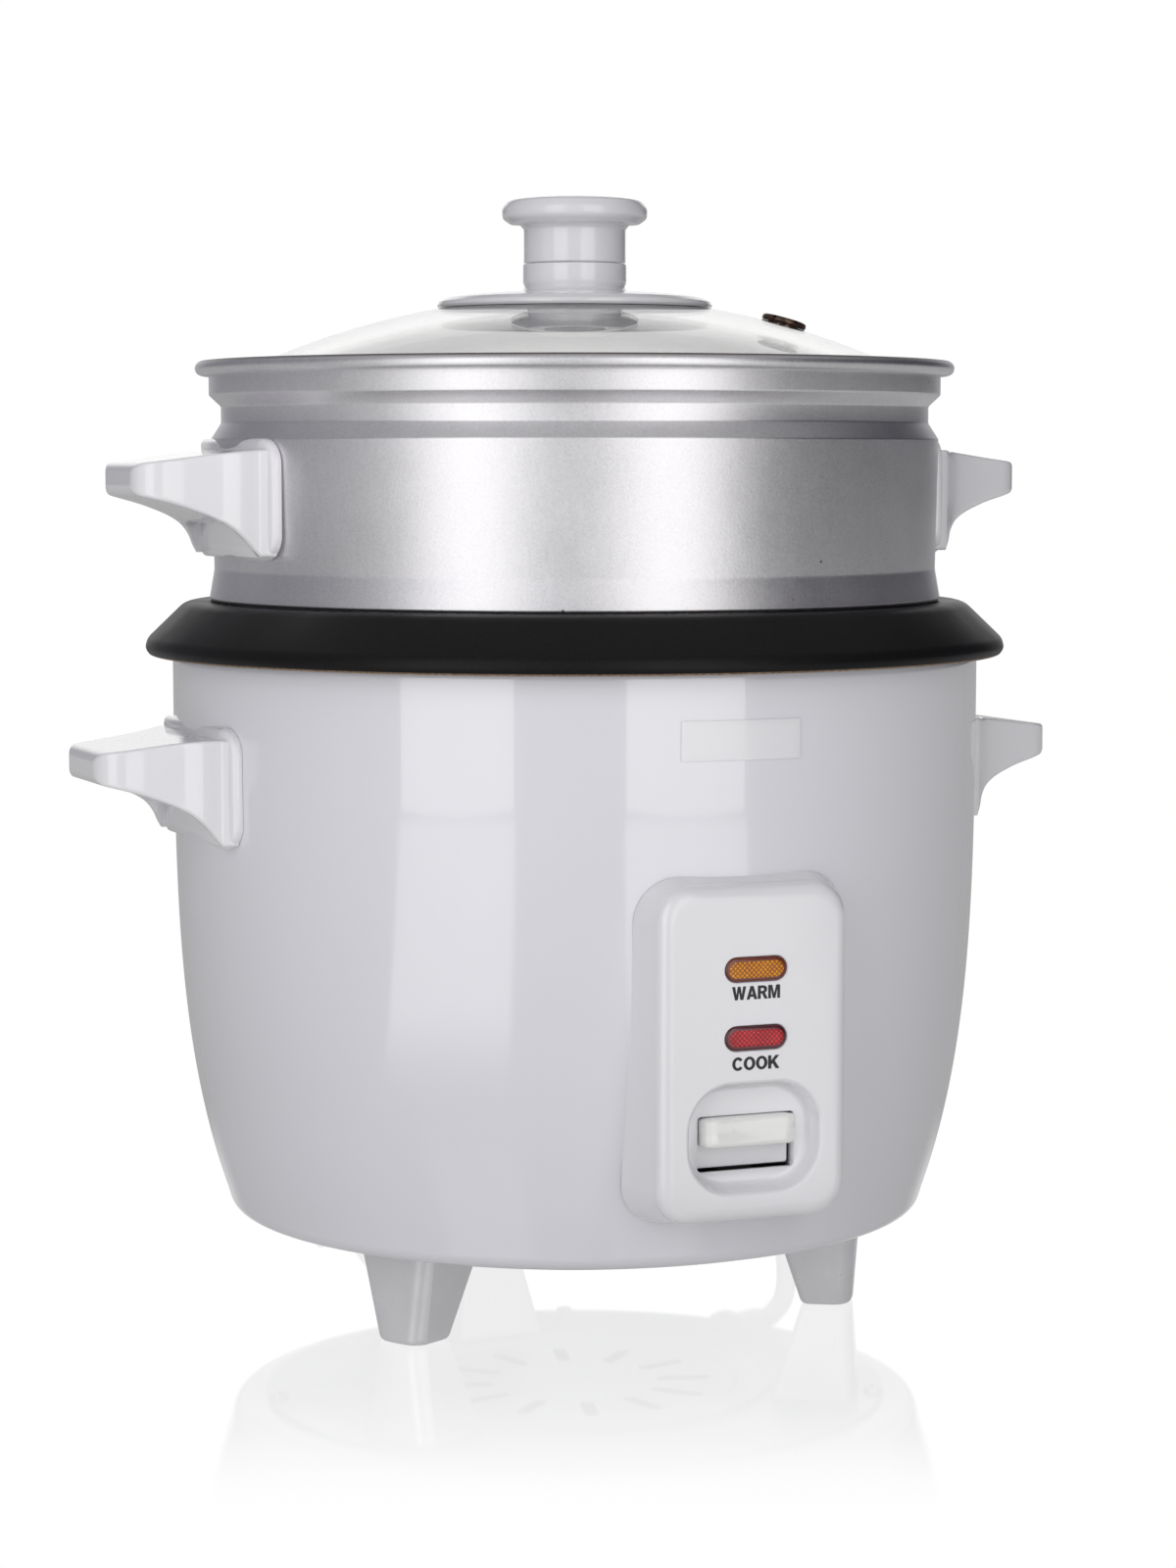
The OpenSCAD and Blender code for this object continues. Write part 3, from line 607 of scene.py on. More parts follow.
tie_a = math.radians(200)
tie_rings = []
for s in range(9):
    w = -3 + 6 * s / 8
    tie_rings.append([])
    for rr, zz in [(p[0], p[1]) for p in fillet([(R_IN - 3.9, 0.1, 2.2), (R_OUT + 3.9, 0.1, 2.2), (R_OUT + 3.9, 14.3, 2.2), (R_IN - 3.9, 14.3, 2.2)], True, 4)]:
        c = Vector((math.cos(tie_a), math.sin(tie_a), 0))
        t = Vector((-math.sin(tie_a), math.cos(tie_a), 0))
        tie_rings[-1].append(tuple(Vector((*COIL, 0)) + c * rr + t * w + Vector((0, 0, zz))))
inner = []
for s in range(9):
    w = -3 + 6 * (8 - s) / 8
    inner.append([])
    for rr, zz in [(p[0], p[1]) for p in fillet([(R_IN - 3.45, 0.5, 2.0), (R_OUT + 3.45, 0.5, 2.0), (R_OUT + 3.45, 13.9, 2.0), (R_IN - 3.45, 13.9, 2.0)], True, 4)]:
        c = Vector((math.cos(tie_a), math.sin(tie_a), 0))
        t = Vector((-math.sin(tie_a), math.cos(tie_a), 0))
        inner[-1].append(tuple(Vector((*COIL, 0)) + c * rr + t * w + Vector((0, 0, zz))))
v, f = loft(tie_rings + inner + [tie_rings[0]], False, False)
tie = build("cord_tie_strap", v, f, M["black"], "root", ["cord_tie"])


# ------------------------------------------------------------------ drum
DRUM_TOP, DRUM_BOT, DRUM_R = 188.0, 28.0, 115.0


def drum_at(z):
    t = (186 - z) / 158
    return DRUM_R - 0.5 * t - 16.1 * max(0.0, t) ** 3.7


def drum_line(d=0.0):
    cx, cz, cr = drum_at(DRUM_BOT + 4) - 5.4 + 0.3, DRUM_BOT + 5.4, 5.4 + d
    pts = [(cx + cr * math.cos(math.radians(a)), cz + cr * math.sin(math.radians(a))) for a in range(-90, -14, 5)]
    return pts + [(drum_at(z) + d, z) for z in [34.4 + 2.6 * i for i in range(60)] if z < DRUM_TOP - 1]


outer = drum_line()
innr = drum_line(-1.0)
prof = outer + [(drum_at(187.4), 187.4), (drum_at(188) - 0.3, 187.9), (drum_at(188) - 0.8, 187.8)] + innr[::-1] + [(84, 29), (84, 28)]
drum = lathe("drum_shell", prof, M["enamel"], "root", 288, ["outer_body"])
holes = [tool(*prism_y(round_rect(36, 74, 3, cz=81), -130, -90))]
holes.append(tool(*joined([rod((88 * out_dir[0], 88 * out_dir[1], 36), (118 * out_dir[0], 118 * out_dir[1], 36), 6.2)])))
cut(drum, holes)

# ------------------------------------------------------------------ inner pot
PR, PF, PW = 99.9, 88.0, 1.6
rim_top = fillet([(PR, 150), (PR, 199.5, 5), (103.2, 202.3, 4), (111.3, 202.3, 5.5), (122.1, 191.9, 4), (122.8, 189.2, 2.2), (121.6, 187.5, 1.2),
                  (119.6, 187.3)], False, 8)
rim_low = fillet([(119.6, 187.3), (119.6, 188.6), (120.8, 189.0, 0.8), (120.4, 190.2, 1.2), (109.9, 200.8, 3.2), (103.8, 200.8, 3.2), (PR + PW, 198.4, 3.5), (PR + PW, 150)], False, 8)
inside = [(0, PF), (30, PF)] + [(PR - 12 + 12 * math.cos(math.radians(a)), PF + 12 + 12 * math.sin(math.radians(a))) for a in range(-90, 1, 6)]
outside = [(PR - 12 + (12 + PW) * math.cos(math.radians(a)), PF + 12 + 14 * math.sin(math.radians(a))) for a in range(0, -91, -6)] + [(30, PF - 2), (0, PF - 2)]
pot = lathe("pot_body", inside + rim_top + rim_low[1:] + outside, [M["nonstick"], M["bronze"], M["cast"]], "inner_pot", 288, ["inner_pot"],
            mats=lambda a, b: 1 if (a[0] > 119 and b[0] > 119 and max(a[1], b[1]) < 188.7 and min(a[0], b[0]) < 121.9) else 0)

# water lines pressed into the pot's wall
for k, zz in enumerate((120, 134, 148, 162)):
    ang = math.radians(-60 + 6 * (k % 2))
    pts = []
    for i in range(13):
        a = math.radians(-66) + math.radians(12) * i / 12
        pts.append(a)
    rings = []
    for a in pts:
        rings.append([(c * math.cos(a), c * math.sin(a), q) for c, q in ((PR + 0.05, zz - 0.35), (PR - 0.25, zz - 0.2), (PR - 0.25, zz + 0.2), (PR + 0.05, zz + 0.35))])
    v, f = loft(rings)
    build("water_line_%d" % (k + 1), v, f, M["sleeve"], "inner_pot", angle=60)

# ------------------------------------------------------------------ steamer basket
ST = 270.1
wall_out = fillet([(95, 190), (99.3, 190, 4.5), (99.3, 202.6, 0.3), (104.5, 202.6, 0.9), (102.95, 211.5, 5), (103.7, 248.1, 1.2), (100.8, 252.6, 1.2),
                   (100.8, 257.3, 1.0), (104.2, 260.5, 1.0), (104.2, 266.6)], False, 6)
bead = [(106 + 2.05 * math.cos(math.radians(a)), 268.0 + 2.05 * math.sin(math.radians(a))) for a in range(-128, 186, 12)]
wall_in = fillet([(103.25, 266.4), (103.2, 260.9, 1.0), (99.8, 257.7, 1.0), (99.8, 252.2, 1.2), (102.7, 247.7, 1.2), (101.95, 211.5, 5), (103.3, 203.7, 0.9),
                  (98.3, 203.6, 0.3), (98.3, 191, 3.5), (95, 191)], False, 6)
prof = [(0, 190), (60, 190)] + wall_out + bead + wall_in + [(60, 191), (0, 191)]
basket = lathe("steamer_body", prof, M["steamer"], "steamer", 288, ["steamer_basket"], angle=38)
parts = []
count = 0
for ring_i, rr in enumerate((0, 15, 29, 43, 57, 71, 84)):
    cnt = 1 if ring_i == 0 else int(TAU * rr / 15)
    for i in range(cnt):
        a = TAU * i / cnt + ring_i * 0.31
        x, y = rr * math.cos(a), rr * math.sin(a)
        parts.append(rod((x, y, 186), (x, y, 195), 2.6, 20))
        count += 1
for s in (-1, 1):
    for y in (-14, 14):
        parts.append(rod((s * 96, y, 231.7), (s * 110, y, 231.7), 2.1, 20))
cut(basket, [tool(*joined(parts))], 38)

# ------------------------------------------------------------------ lid
DR, DT, GT = 221.8, 288.6, 4.0


def dome(r):
    return DT - DR + math.sqrt(DR * DR - r * r)


def under(r):
    return DT - DR + math.sqrt((DR - GT) ** 2 - r * r)


top = [(r, dome(r)) for r in [i * 2.5 for i in range(41)]]
edge = fillet([(100, dome(100)), (102.0, dome(102.0), 0.8), (102.6, 261.5, 0.9), (101.4, 259.95, 0.8), (100, under(100))], False, 6)[1:-1]
low = [(r, under(r)) for r in [i * 2.5 for i in range(40, -1, -1)]]
glass = lathe("dome_pane", top + edge + low, M["glass"], "lid", 256, ["lid_glass"], angle=50)
VR, VA = 59.5, math.radians(-22.3)
tilt = math.asin(VR / DR)
v_dir = Vector((math.sin(tilt) * math.cos(VA), math.sin(tilt) * math.sin(VA), math.cos(tilt)))
v_at = Vector((VR * math.cos(VA), VR * math.sin(VA), dome(VR)))
cut(glass, [tool(*joined([rod((0, 0, 270), (0, 0, 300), 2.8, 40), rod(tuple(v_at - v_dir * 12), tuple(v_at + v_dir * 12), 4.7, 40)]))], 50)
prof = fillet([(2.1, -5.5), (5.7, -5.5, 0.5), (6.1, -4.6, 0.3), (4.5, -4.5), (4.5, 0.25), (6.2, 0.25, 0.2), (6.5, 0.9, 0.4), (6.3, 1.8, 0.5), (5.4, 2.2, 0.3),
               (4.6, 1.5, 0.2), (3.9, 2.2, 0.3), (3.0, 2.2, 0.3), (2.1, 1.5, 0.3)], True, 4)
grommet = turned("vent_eyelet", prof, tuple(v_at), tuple(v_dir), M["grommet"], "lid", 64, ["vent_grommet"], 40)
slots = []
for k in range(6):
    a = TAU * (k + 0.5) / 6
    q = Vector(v_dir).to_track_quat("Z", "Y")
    slots.append(rod(tuple(v_at + q @ Vector((3.4 * math.cos(a), 3.4 * math.sin(a), 1.1))), tuple(v_at + q @ Vector((7.4 * math.cos(a), 7.4 * math.sin(a), 1.9))), 0.55, 12))
cut(grommet, [tool(*joined(slots))], 40)

knob = fillet([(0, 306), (2.5, 305), (2.5, 298.0), (14.2, 297.95), (14.62, 298.3, 0.3), (14.62, 307.6, 1.3), (15.6, 308.8, 0.8), (18.4, 309.0, 1.6), (20.7, 310.6, 2.2),
               (21.0, 313.2, 2.4), (19.2, 315.6, 2.6), (15.5, 316.3, 8), (8, 316.75, 10), (0, 316.8)], False, 9)
lathe("knob_grip", knob, M["plastic"], "lid", 128, ["knob_cap"], 40)
base = [(2.8, dome(2.8) + 0.12)] + [(r, dome(r) + 0.12) for r in range(6, 39, 4)] + [(38.9, dome(38.9) + 0.12)]
base += fillet([(38.9, dome(38.9) + 0.12), (39.35, 286.0, 0.3), (39.0, 287.0, 0.6), (37.0, 288.1, 2.2), (32, 289.0, 14), (24, 289.6, 14), (15.2, 290.2, 0.8), (14.3, 291.2, 1.0), (14.86, 292.8, 2.0),
                (14.86, 297.6, 0.25), (14.4, 297.8), (2.8, 297.8)], False, 8)[1:]
lathe("knob_collar", base, M["plastic"], "lid", 160, ["knob_base"], 40)
washer = fillet([(2.8, 284.35), (10, 284.15), (13.3, 283.85, 0.2), (13.4, 283.2, 0.4), (18.1, 282.65, 0.3), (18.4, 282.1, 0.3), (17.6, 281.6, 0.5), (13.6, 280.2, 0.8),
                 (9.0, 280.1, 0.4), (8.3, 280.6, 0.4), (8.1, 282.3), (2.8, 282.3)], True, 6)
lathe("knob_seat", washer, M["plastic"], "lid", 96, ["knob_washer"], 40)


# ------------------------------------------------------------------ ear handles
def ear(prefix, r_wall, z0, side, body, node_name, conical):
    """Base plate that hugs the wall, and an ear that sweeps out of it."""
    def wall(z):
        return drum_at(z) if conical else r_wall
    W, H, REACH = 66.0, 33.0, 31.0
    base_face = r_wall + 2.7

    def on_wall(s, zz, off):
        """Point at arc distance s along the wall, height zz, off the wall."""
        r = wall(z0 + zz) + 0.15
        a = math.asin(max(-1, min(1, s / r)))
        return (side * (r + off) * math.cos(a), (r + off) * math.sin(a), z0 + zz)

    rings = []
    for inset, off in ((0, 0), (0, 1.1), (0.15, 1.7), (0.6, 2.3), (1.2, 2.58), (2.0, 2.7)):
        rings.append([on_wall(x, z, off) for x, z in round_rect(W - 2 * inset, H - 2 * inset, 7.0 - inset * 0.8, 10, 0, 16.5)])
    for k in (0.85, 0.7, 0.5, 0.3, 0.12):
        rings.append([on_wall(x, z, 2.7) for x, z in round_rect((W - 4) * k, (H - 4) * k, 5.4 * k, 10, 0, 16.5)])
    v1, f1 = loft(rings)
    # Ear sections from inside the wall out to the rounded tip
    half_w = [(0, 31.2), (1.5, 29.6), (3.2, 27.4), (5, 25.7), (7.5, 24.0), (11, 22.5), (16, 21.1), (22, 20.1), (31, 19.4)]
    top_z = [(0, 29.9), (3, 29.6), (10, 28.8), (20, 27.5), (28, 26.5), (31, 26.1)]
    low_z = [(0, 1.0), (1.5, 3.0), (3, 5.4), (5, 7.8), (6.8, 9.4), (10.7, 11.6), (15, 13.3), (19, 14.7), (24, 16.1), (28.4, 17.2), (31, 17.7)]
    scoop = [(0, 8.3), (1.5, 6.3), (3, 4.0), (5, 1.9), (6.8, 0.6), (9, 0.15), (12, 0), (31, 0)]
    m = 28
    PLAN, SIDE = 7.5, 2.6

    def arc(u, r):
        """How far a corner of radius r at the tip has turned in at u."""
        e = max(0.0, min(1.0, (u - (REACH - r)) / r))
        return r * (1 - math.sqrt(max(0.0, 1 - e * e)))

    def section(u):
        uu = max(0.0, u)
        hw = catmull(half_w, uu) - arc(uu, PLAN)
        zt, zl = catmull(top_z, uu) - arc(uu, SIDE), catmull(low_z, uu) + arc(uu, SIDE)
        sd = catmull(scoop, uu)
        pts = []
        corner = [(hw, zt, 0.9), (-hw, zt, 0.9), (-hw, zl, 1.1), (hw, zl, 1.1)]
        signs = [(1, 1, 0), (-1, 1, 90), (-1, -1, 180), (1, -1, 270)]
        for i, (cx, cz, r) in enumerate(corner):
            qx, qz, a0 = signs[i]
            for j in range(9):
                a = math.radians(a0 + 90 * j / 8)
                pts.append((cx - qx * r + r * math.cos(a), cz - qz * r + r * math.sin(a)))
            nx, nz, nr = corner[(i + 1) % 4]
            nqx, nqz, _ = signs[(i + 1) % 4]
            q = (nx - nqx * nr, nz) if i in (0, 2) else (nx, nz - nqz * nr)
            p_end = pts[-1]
            for j in range(1, m):
                t = j / m
                x, zz = p_end[0] + (q[0] - p_end[0]) * t, p_end[1] + (q[1] - p_end[1]) * t
                if i == 2:
                    zz += sd * smooth(0.03, 0.12, t) * smooth(0.03, 0.12, 1 - t)
                pts.append((x, zz))
        return [(side * (base_face - 2.7 + u), y, z0 + zz) for y, zz in pts]

    stations = [-6, -3, 0, 0.5, 1, 1.5, 2.1, 2.8, 3.6, 4.5, 5.6, 6.8, 8.2, 9.8, 11.6, 13.6, 16, 18.4, 20.8, REACH - PLAN]
    stations += [REACH - PLAN + PLAN * math.sin(math.radians(a)) for a in (8, 16, 24, 31, 37, 42)]
    stations += [REACH - SIDE + SIDE * math.sin(math.radians(a)) for a in (15, 30, 42, 54, 64, 73, 81, 87, 90)]
    stations = sorted(set(round(u, 4) for u in stations))
    sections = [section(u) for u in stations]
    last = sections[-1]
    cy = sum(p[1] for p in last) / len(last)
    cz = sum(p[2] for p in last) / len(last)
    for k in (0.8, 0.55, 0.3):
        sections.append([(p[0], cy + (p[1] - cy) * k, cz + (p[2] - cz) * k) for p in last])
    v2, f2 = loft(sections)
    o = build(prefix + "_ear", v2, f2, M["plastic"], body, (), 50)
    if conical:
        blank = [(0, 100)] + [(drum_at(z) + 0.4, z) for z in (100, 120, 140, 160, 180, 187)] + [(0, 187)]
    else:
        blank = [(0, 200), (r_wall + 0.5, 200), (r_wall + 0.5, 260), (0, 260)]
    bv, bf = lathe("b", blank, None, None, 96, build_only=True)
    cut(o, [tool(bv, bf)], 50)
    plate = build(prefix + "_plate", v1, f1, M["plastic"], body, [node_name], 50)
    return o, plate


ear("drum_right", drum_at(170), 137.3, 1, "root", "body_handle_right", True)
ear("drum_left", drum_at(170), 137.3, -1, "root", "body_handle_left", True)
ear("steamer_right", 103.75, 215.2, 1, "steamer", "steamer_handle_right", False)
ear("steamer_left", 103.75, 215.2, -1, "steamer", "steamer_handle_left", False)

# ------------------------------------------------------------------ feet
FOOT_TOP = DRUM_BOT - 1.4


def foot(name, deg, node_name):
    a = math.radians(deg)
    rad, tan = Vector((math.cos(a), math.sin(a), 0)), Vector((-math.sin(a), math.cos(a), 0))
    rings = []

    def ring(z, inset):
        t = z / FOOT_TOP
        r0 = 66.8 + (58.4 - 66.8) * t + inset
        r1 = 81.0 + (83.0 - 81.0) * t - inset
        hw = 8.2 + (13.3 - 8.2) * t - inset
        rc_out, rc_in = 4.6, 2.0
        pts = []
        for qx, qy, a0, rc in ((1, 1, 0, rc_out), (-1, 1, 90, rc_in), (-1, -1, 180, rc_in), (1, -1, 270, rc_out)):
            rc = max(0.3, rc - inset)
            ex = r1 if qx > 0 else r0
            for j in range(9):
                b = math.radians(a0 + 90 * j / 8)
                pts.append((ex - qx * rc + rc * math.cos(b), qy * (hw - rc) + rc * math.sin(b)))
            if qx > 0 and qy < 0:
                # gently bowed outer face
                y0, y1 = -(hw - rc), (hw - rc)
                for j in range(1, 10):
                    y = y0 + (y1 - y0) * j / 10
                    pts.append((r1 + 0.0, y))
        out = []
        for x, y in pts:
            bow = 0.9 * (1 - min(1, abs(y) / max(hw, 0.1)) ** 2) if x > r1 - 3 else 0
            x = x - 0.9 + bow if x > r1 - 3 else x
            out.append(tuple(rad * x + tan * y + Vector((0, 0, z))))
        return out

    rings = [ring(1.6 * (1 - math.cos(k / 6 * math.pi / 2)), 1.6 * (1 - math.sin(k / 6 * math.pi / 2))) for k in range(7)]
    for z in (4, 8, 12, 16, 20, 24, FOOT_TOP):
        rings.append(ring(z, 0))
    v, f = loft(rings)
    return build(name, v, f, M["feet"], "root", [node_name], 45)


foot("foot_front_right", -30, "foot_right")
foot("foot_front_left", -150, "foot_left")
foot("foot_back", 90, "foot_rear")

# ------------------------------------------------------------------ control panel
PY = -122.0


def cdt_face(outer_loop, holes, y):
    """Flat face in the XZ plane at y, with holes."""
    verts, edges = [], []
    for loop in [outer_loop, *holes]:
        s = len(verts)
        verts += [Vector((x, z)) for x, z in loop]
        edges += [(s + i, s + (i + 1) % len(loop)) for i in range(len(loop))]
    res = geometry.delaunay_2d_cdt(verts, edges, [], 0, 1e-6)
    pv, pf = res[0], res[2]

    def inside_loop(p, loop):
        c, n = False, len(loop)
        for i in range(n):
            (x1, y1), (x2, y2) = loop[i], loop[(i + 1) % n]
            if (y1 > p[1]) != (y2 > p[1]) and p[0] < (x2 - x1) * (p[1] - y1) / (y2 - y1) + x1:
                c = not c
        return c

    keep = []
    for f in pf:
        cx = sum(pv[i][0] for i in f) / len(f)
        cz = sum(pv[i][1] for i in f) / len(f)
        if inside_loop((cx, cz), outer_loop) and not any(inside_loop((cx, cz), h) for h in holes):
            keep.append(tuple(f))
    return [(p[0], y, p[1]) for p in pv], keep


def stad(w, h, cz, seg=12):
    pts = []
    for j in range(seg + 1):
        a = math.radians(-90 + 180 * j / seg)
        pts.append((PX + (w - h) / 2 + h / 2 * math.cos(a), cz + h / 2 * math.sin(a)))
    for j in range(seg + 1):
        a = math.radians(90 + 180 * j / seg)
        pts.append((PX - (w - h) / 2 + h / 2 * math.cos(a), cz + h / 2 * math.sin(a)))
    return pts


def drum_y(x, z):
    r = drum_at(max(z, 33)) + 0.12
    return -math.sqrt(max(1.0, r * r - x * x))


SEG = 12
face_r, face_w, face_h, face_c, PX = 9.0, 53.0, 87.5, 88.75, 0.8
outline = lambda inset: round_rect(face_w - 2 * inset, face_h - 2 * inset, max(1.0, face_r - inset * 0.7), SEG, PX, face_c)
rings = []
# side wall, from the drum out to the face, flaring towards the drum
for t, tuck in [(0.0, 0.5), (0.028, 0.5), (0.05, 0.12), (0.075, 0.0)] + [(k / 8, 0.0) for k in range(1, 9)]:
    w = 60.5 + (54.2 - 60.5) * t - 2 * tuck
    h = 93.5 + (88.7 - 93.5) * t - 2 * tuck
    c = 88.25 + 0.5 * t
    loop = round_rect(w, h, 12.0 - 2.4 * t - tuck, SEG, PX, c)
    ring = []
    for x, z in loop:
        y0 = drum_y(x, z)
        ring.append((x, y0 + (PY + 4.2 - y0) * t, z))
    rings.append(ring)
# rounded shoulder up to the flat face
for k in range(1, 11):
    a = k / 10 * math.pi / 2
    inset = -0.6 + 4.0 * (1 - math.cos(a))
    y = PY + 4.2 - 4.2 * math.sin(a)
    rings.append([(x, y, z) for x, z in outline(inset)])
v, f = loft(rings, False, False)
face_loop = outline(3.4)
lens_loops = [stad(18.6, 7.4, 110.9), stad(18.6, 7.4, 92.9)]
rec = round_rect(39.5, 30.5, 13.0, 14, PX, 66.6)


def scaled(loop, d, r=13.0):
    return round_rect(39.5 - 2 * d, 30.5 - 2 * d, max(2.0, r - d), 14, PX, 66.6)


parts = [(v, f)]
parts.append(cdt_face(face_loop, [stad(18.6, 7.4, 110.9), stad(18.6, 7.4, 92.9), rec], PY))
# lens seats: small rounded edge then straight in
for cz in (110.9, 92.9):
    rr = []
    for d, y in ((0, 0), (0.08, -0.06), (0.18, -0.10), (0.28, -0.06), (0.36, 0.06), (0.42, 0.3), (0.42, 3.2)):
        rr.append([(x, PY + y, z) for x, z in stad(18.6 - 2 * d, 7.4 - 2 * d, cz)])
    parts.append(loft(rr, False, False))
# switch recess: rounded lip, sloping wall, filleted floor
rr = []
for d, y in ((0, 0), (0.25, 0.05), (0.55, 0.2), (0.85, 0.5), (1.05, 1.0), (1.5, 3.4), (1.8, 4.9), (2.2, 5.6), (2.8, 5.95), (3.4, 6.0)):
    rr.append([(x, PY + y, z) for x, z in scaled(rec, d)])
parts.append(loft(rr, False, False))
floor_loop = scaled(rec, 3.4)
win = round_rect(28.0, 15.0, 0.9, 4, PX, 64.5)
parts.append(cdt_face(floor_loop, [win], PY + 6.0))
rr = []
for d, y in ((0, 0), (0.1, 0.05), (0.2, 0.2), (0.2, 1.5)):
    rr.append([(x, PY + 6.0 + y, z) for x, z in round_rect(28.0 - 2 * d, 15.0 - 2 * d, 0.9, 4, PX, 64.5)])
rr.append([(x, PY + 7.5 + (1.9 if abs(x - PX) > 13.3 else 0.0), z) for x, z in round_rect(27.6, 14.6, 0.9, 4, PX, 64.5)])
parts.append(loft(rr, False, False))
v, f = joined(parts)
panel = build("panel_housing", v, f, M["plastic"], "root", ["control_panel"], 38)
md = panel.modifiers.new("wall", "SOLIDIFY")
md.thickness = 0.0009
md.offset = -1
md = panel.modifiers.new("flat_faces_stay_flat", "WEIGHTED_NORMAL")
md.keep_sharp = True
md.weight = 60
bm = bmesh.new()
bm.from_mesh(panel.data)
bmesh.ops.remove_doubles(bm, verts=bm.verts, dist=2e-6)
bmesh.ops.recalc_face_normals(bm, faces=bm.faces)
face_up = [q for q in bm.faces if abs(q.calc_center_median().y - PY * MM) < 1e-5]
if face_up and face_up[0].normal.y > 0:
    bmesh.ops.reverse_faces(bm, faces=bm.faces)
bm.to_mesh(panel.data)
bm.free()
panel.data.shade_smooth()
panel.data.set_sharp_from_angle(angle=math.radians(38))


def lens(name, cz, mat, edge_mat, node_name):
    rr = []
    for d, y in ((0.0, 3.0), (0.0, 0.2), (0.12, -0.1), (0.4, -0.28), (0.75, -0.36)):
        rr.append([(x, PY + y, z) for x, z in stad(17.5 - 2 * d, 6.3 - 2 * d, cz, 16)])
    rr.append([(x, PY - 0.36, z) for x, z in stad(17.5 - 2.0, 6.3 - 2.0, cz, 16)])
    v, f = loft(rr, True, False)
    build(name + "_bezel", v, f, edge_mat, "root", (), 50)
    rr = []
    for d, y in ((1.0, 2.8), (1.0, -0.30), (1.15, -0.37), (1.5, -0.39), (2.0, -0.395), (2.6, -0.4)):
        rr.append([(x, PY + y, z) for x, z in stad(17.5 - 2 * d, max(0.3, 6.3 - 2 * d), cz, 16)])
    v, f = loft(rr)
    build(name + "_face", v, f, mat, "root", [node_name], 50)


lens("warm_lens", 110.9, M["amber"], M["amber_edge"], "warm_lens")
lens("cook_lens", 92.9, M["red"], M["red_edge"], "cook_lens")


def ring_arc(cx, cy, rx, ry, ix, iy, a0, a1, k=22):
    """Open ring between two ellipses."""
    an = [math.radians(a0 + (a1 - a0) * i / k) for i in range(k + 1)]
    return [(cx + rx * math.cos(a), cy + ry * math.sin(a)) for a in an] + [(cx + ix * math.cos(a), cy + iy * math.sin(a)) for a in reversed(an)]


def oval(cx, cy, rx, ry, k=32):
    return [(cx + rx * math.cos(TAU * i / k), cy + ry * math.sin(TAU * i / k)) for i in range(k)]


LETTERS = {
    "W": (1.06, [(0, 1), (.205, 1), (.32, .36), (.435, 1), (.625, 1), (.74, .36), (.855, 1), (1.06, 1), (.845, 0), (.64, 0), (.53, .62), (.42, 0), (.215, 0)], []),
    "A": (0.8, [(0, 0), (.205, 0), (.265, .2), (.535, .2), (.595, 0), (.8, 0), (.51, 1), (.29, 1)], [[(.312, .36), (.488, .36), (.4, .7)]]),
    "R": (0.745, [(0, 0), (.2, 0), (.2, .4), (.34, .4), (.52, 0), (.745, 0), (.53, .45), (.62, .52), (.69, .62), (.7, .72), (.68, .84), (.61, .93), (.5, .985), (.38, 1), (0, 1)],
          [[(.2, .57), (.36, .57), (.44, .595), (.485, .65), (.49, .72), (.47, .78), (.42, .82), (.36, .835), (.2, .835)]]),
    "M": (0.9, [(0, 0), (.19, 0), (.19, .72), (.37, 0), (.53, 0), (.71, .72), (.71, 0), (.9, 0), (.9, 1), (.62, 1), (.45, .32), (.28, 1), (0, 1)], []),
    "C": (0.74, ring_arc(.39, .5, .39, .51, .2, .33, 38, 322), []),
    "O": (0.8, oval(.4, .5, .4, .51), [oval(.4, .5, .205, .335)]),
    "K": (0.785, [(0, 0), (.2, 0), (.2, .3), (.31, .43), (.545, 0), (.785, 0), (.45, .59), (.765, 1), (.52, 1), (.2, .585), (.2, 1), (0, 1)], []),
}


def grow(loop, d):
    """Moves a closed outline outwards by d, or inwards when d is below zero."""
    n = len(loop)
    turn = sum(loop[i][0] * loop[(i + 1) % n][1] - loop[(i + 1) % n][0] * loop[i][1] for i in range(n))
    side = 1.0 if turn > 0 else -1.0
    res = []
    for i in range(n):
        p0, p1, p2 = Vector(loop[i - 1]), Vector(loop[i]), Vector(loop[(i + 1) % n])
        a, b = (p1 - p0).normalized(), (p2 - p1).normalized()
        na, nb = Vector((a.y, -a.x)) * side, Vector((b.y, -b.x)) * side
        m = na + nb
        m = m / max(0.5, m.length_squared / 2)
        res.append((p1.x + m.x * d, p1.y + m.y * d))
    return res


def word(name, text, cz, width, height, gap=0.075):
    total = sum(LETTERS[c][0] for c in text) + gap * (len(text) - 1)
    x, k, made = 0.0, width / total, []
    for ch in text:
        w, outer_l, holes_l = LETTERS[ch]
        put = lambda loop: [(PX - width / 2 + (x + u) * k, cz + (t - 0.5) * height) for u, t in loop]
        loops = [grow(put(outer_l), 0.06)] + [grow(put(h), -0.06) for h in holes_l]
        made.append(cdt_face(loops[0], loops[1:], PY - 0.05))
        for loop in loops:
            n = len(loop)
            made.append(([(u, PY - 0.05, t) for u, t in loop] + [(u, PY + 0.02, t) for u, t in loop], [(i, (i + 1) % n, n + (i + 1) % n, n + i) for i in range(n)]))
        x += w + gap
    v, f = joined(made)
    return build(name, v, f, M["ink"], "root", (), 30)


word("label_warm", "WARM", 104.8, 13.6, 3.4)
word("label_cook", "COOK", 86.3, 13.4, 3.4)

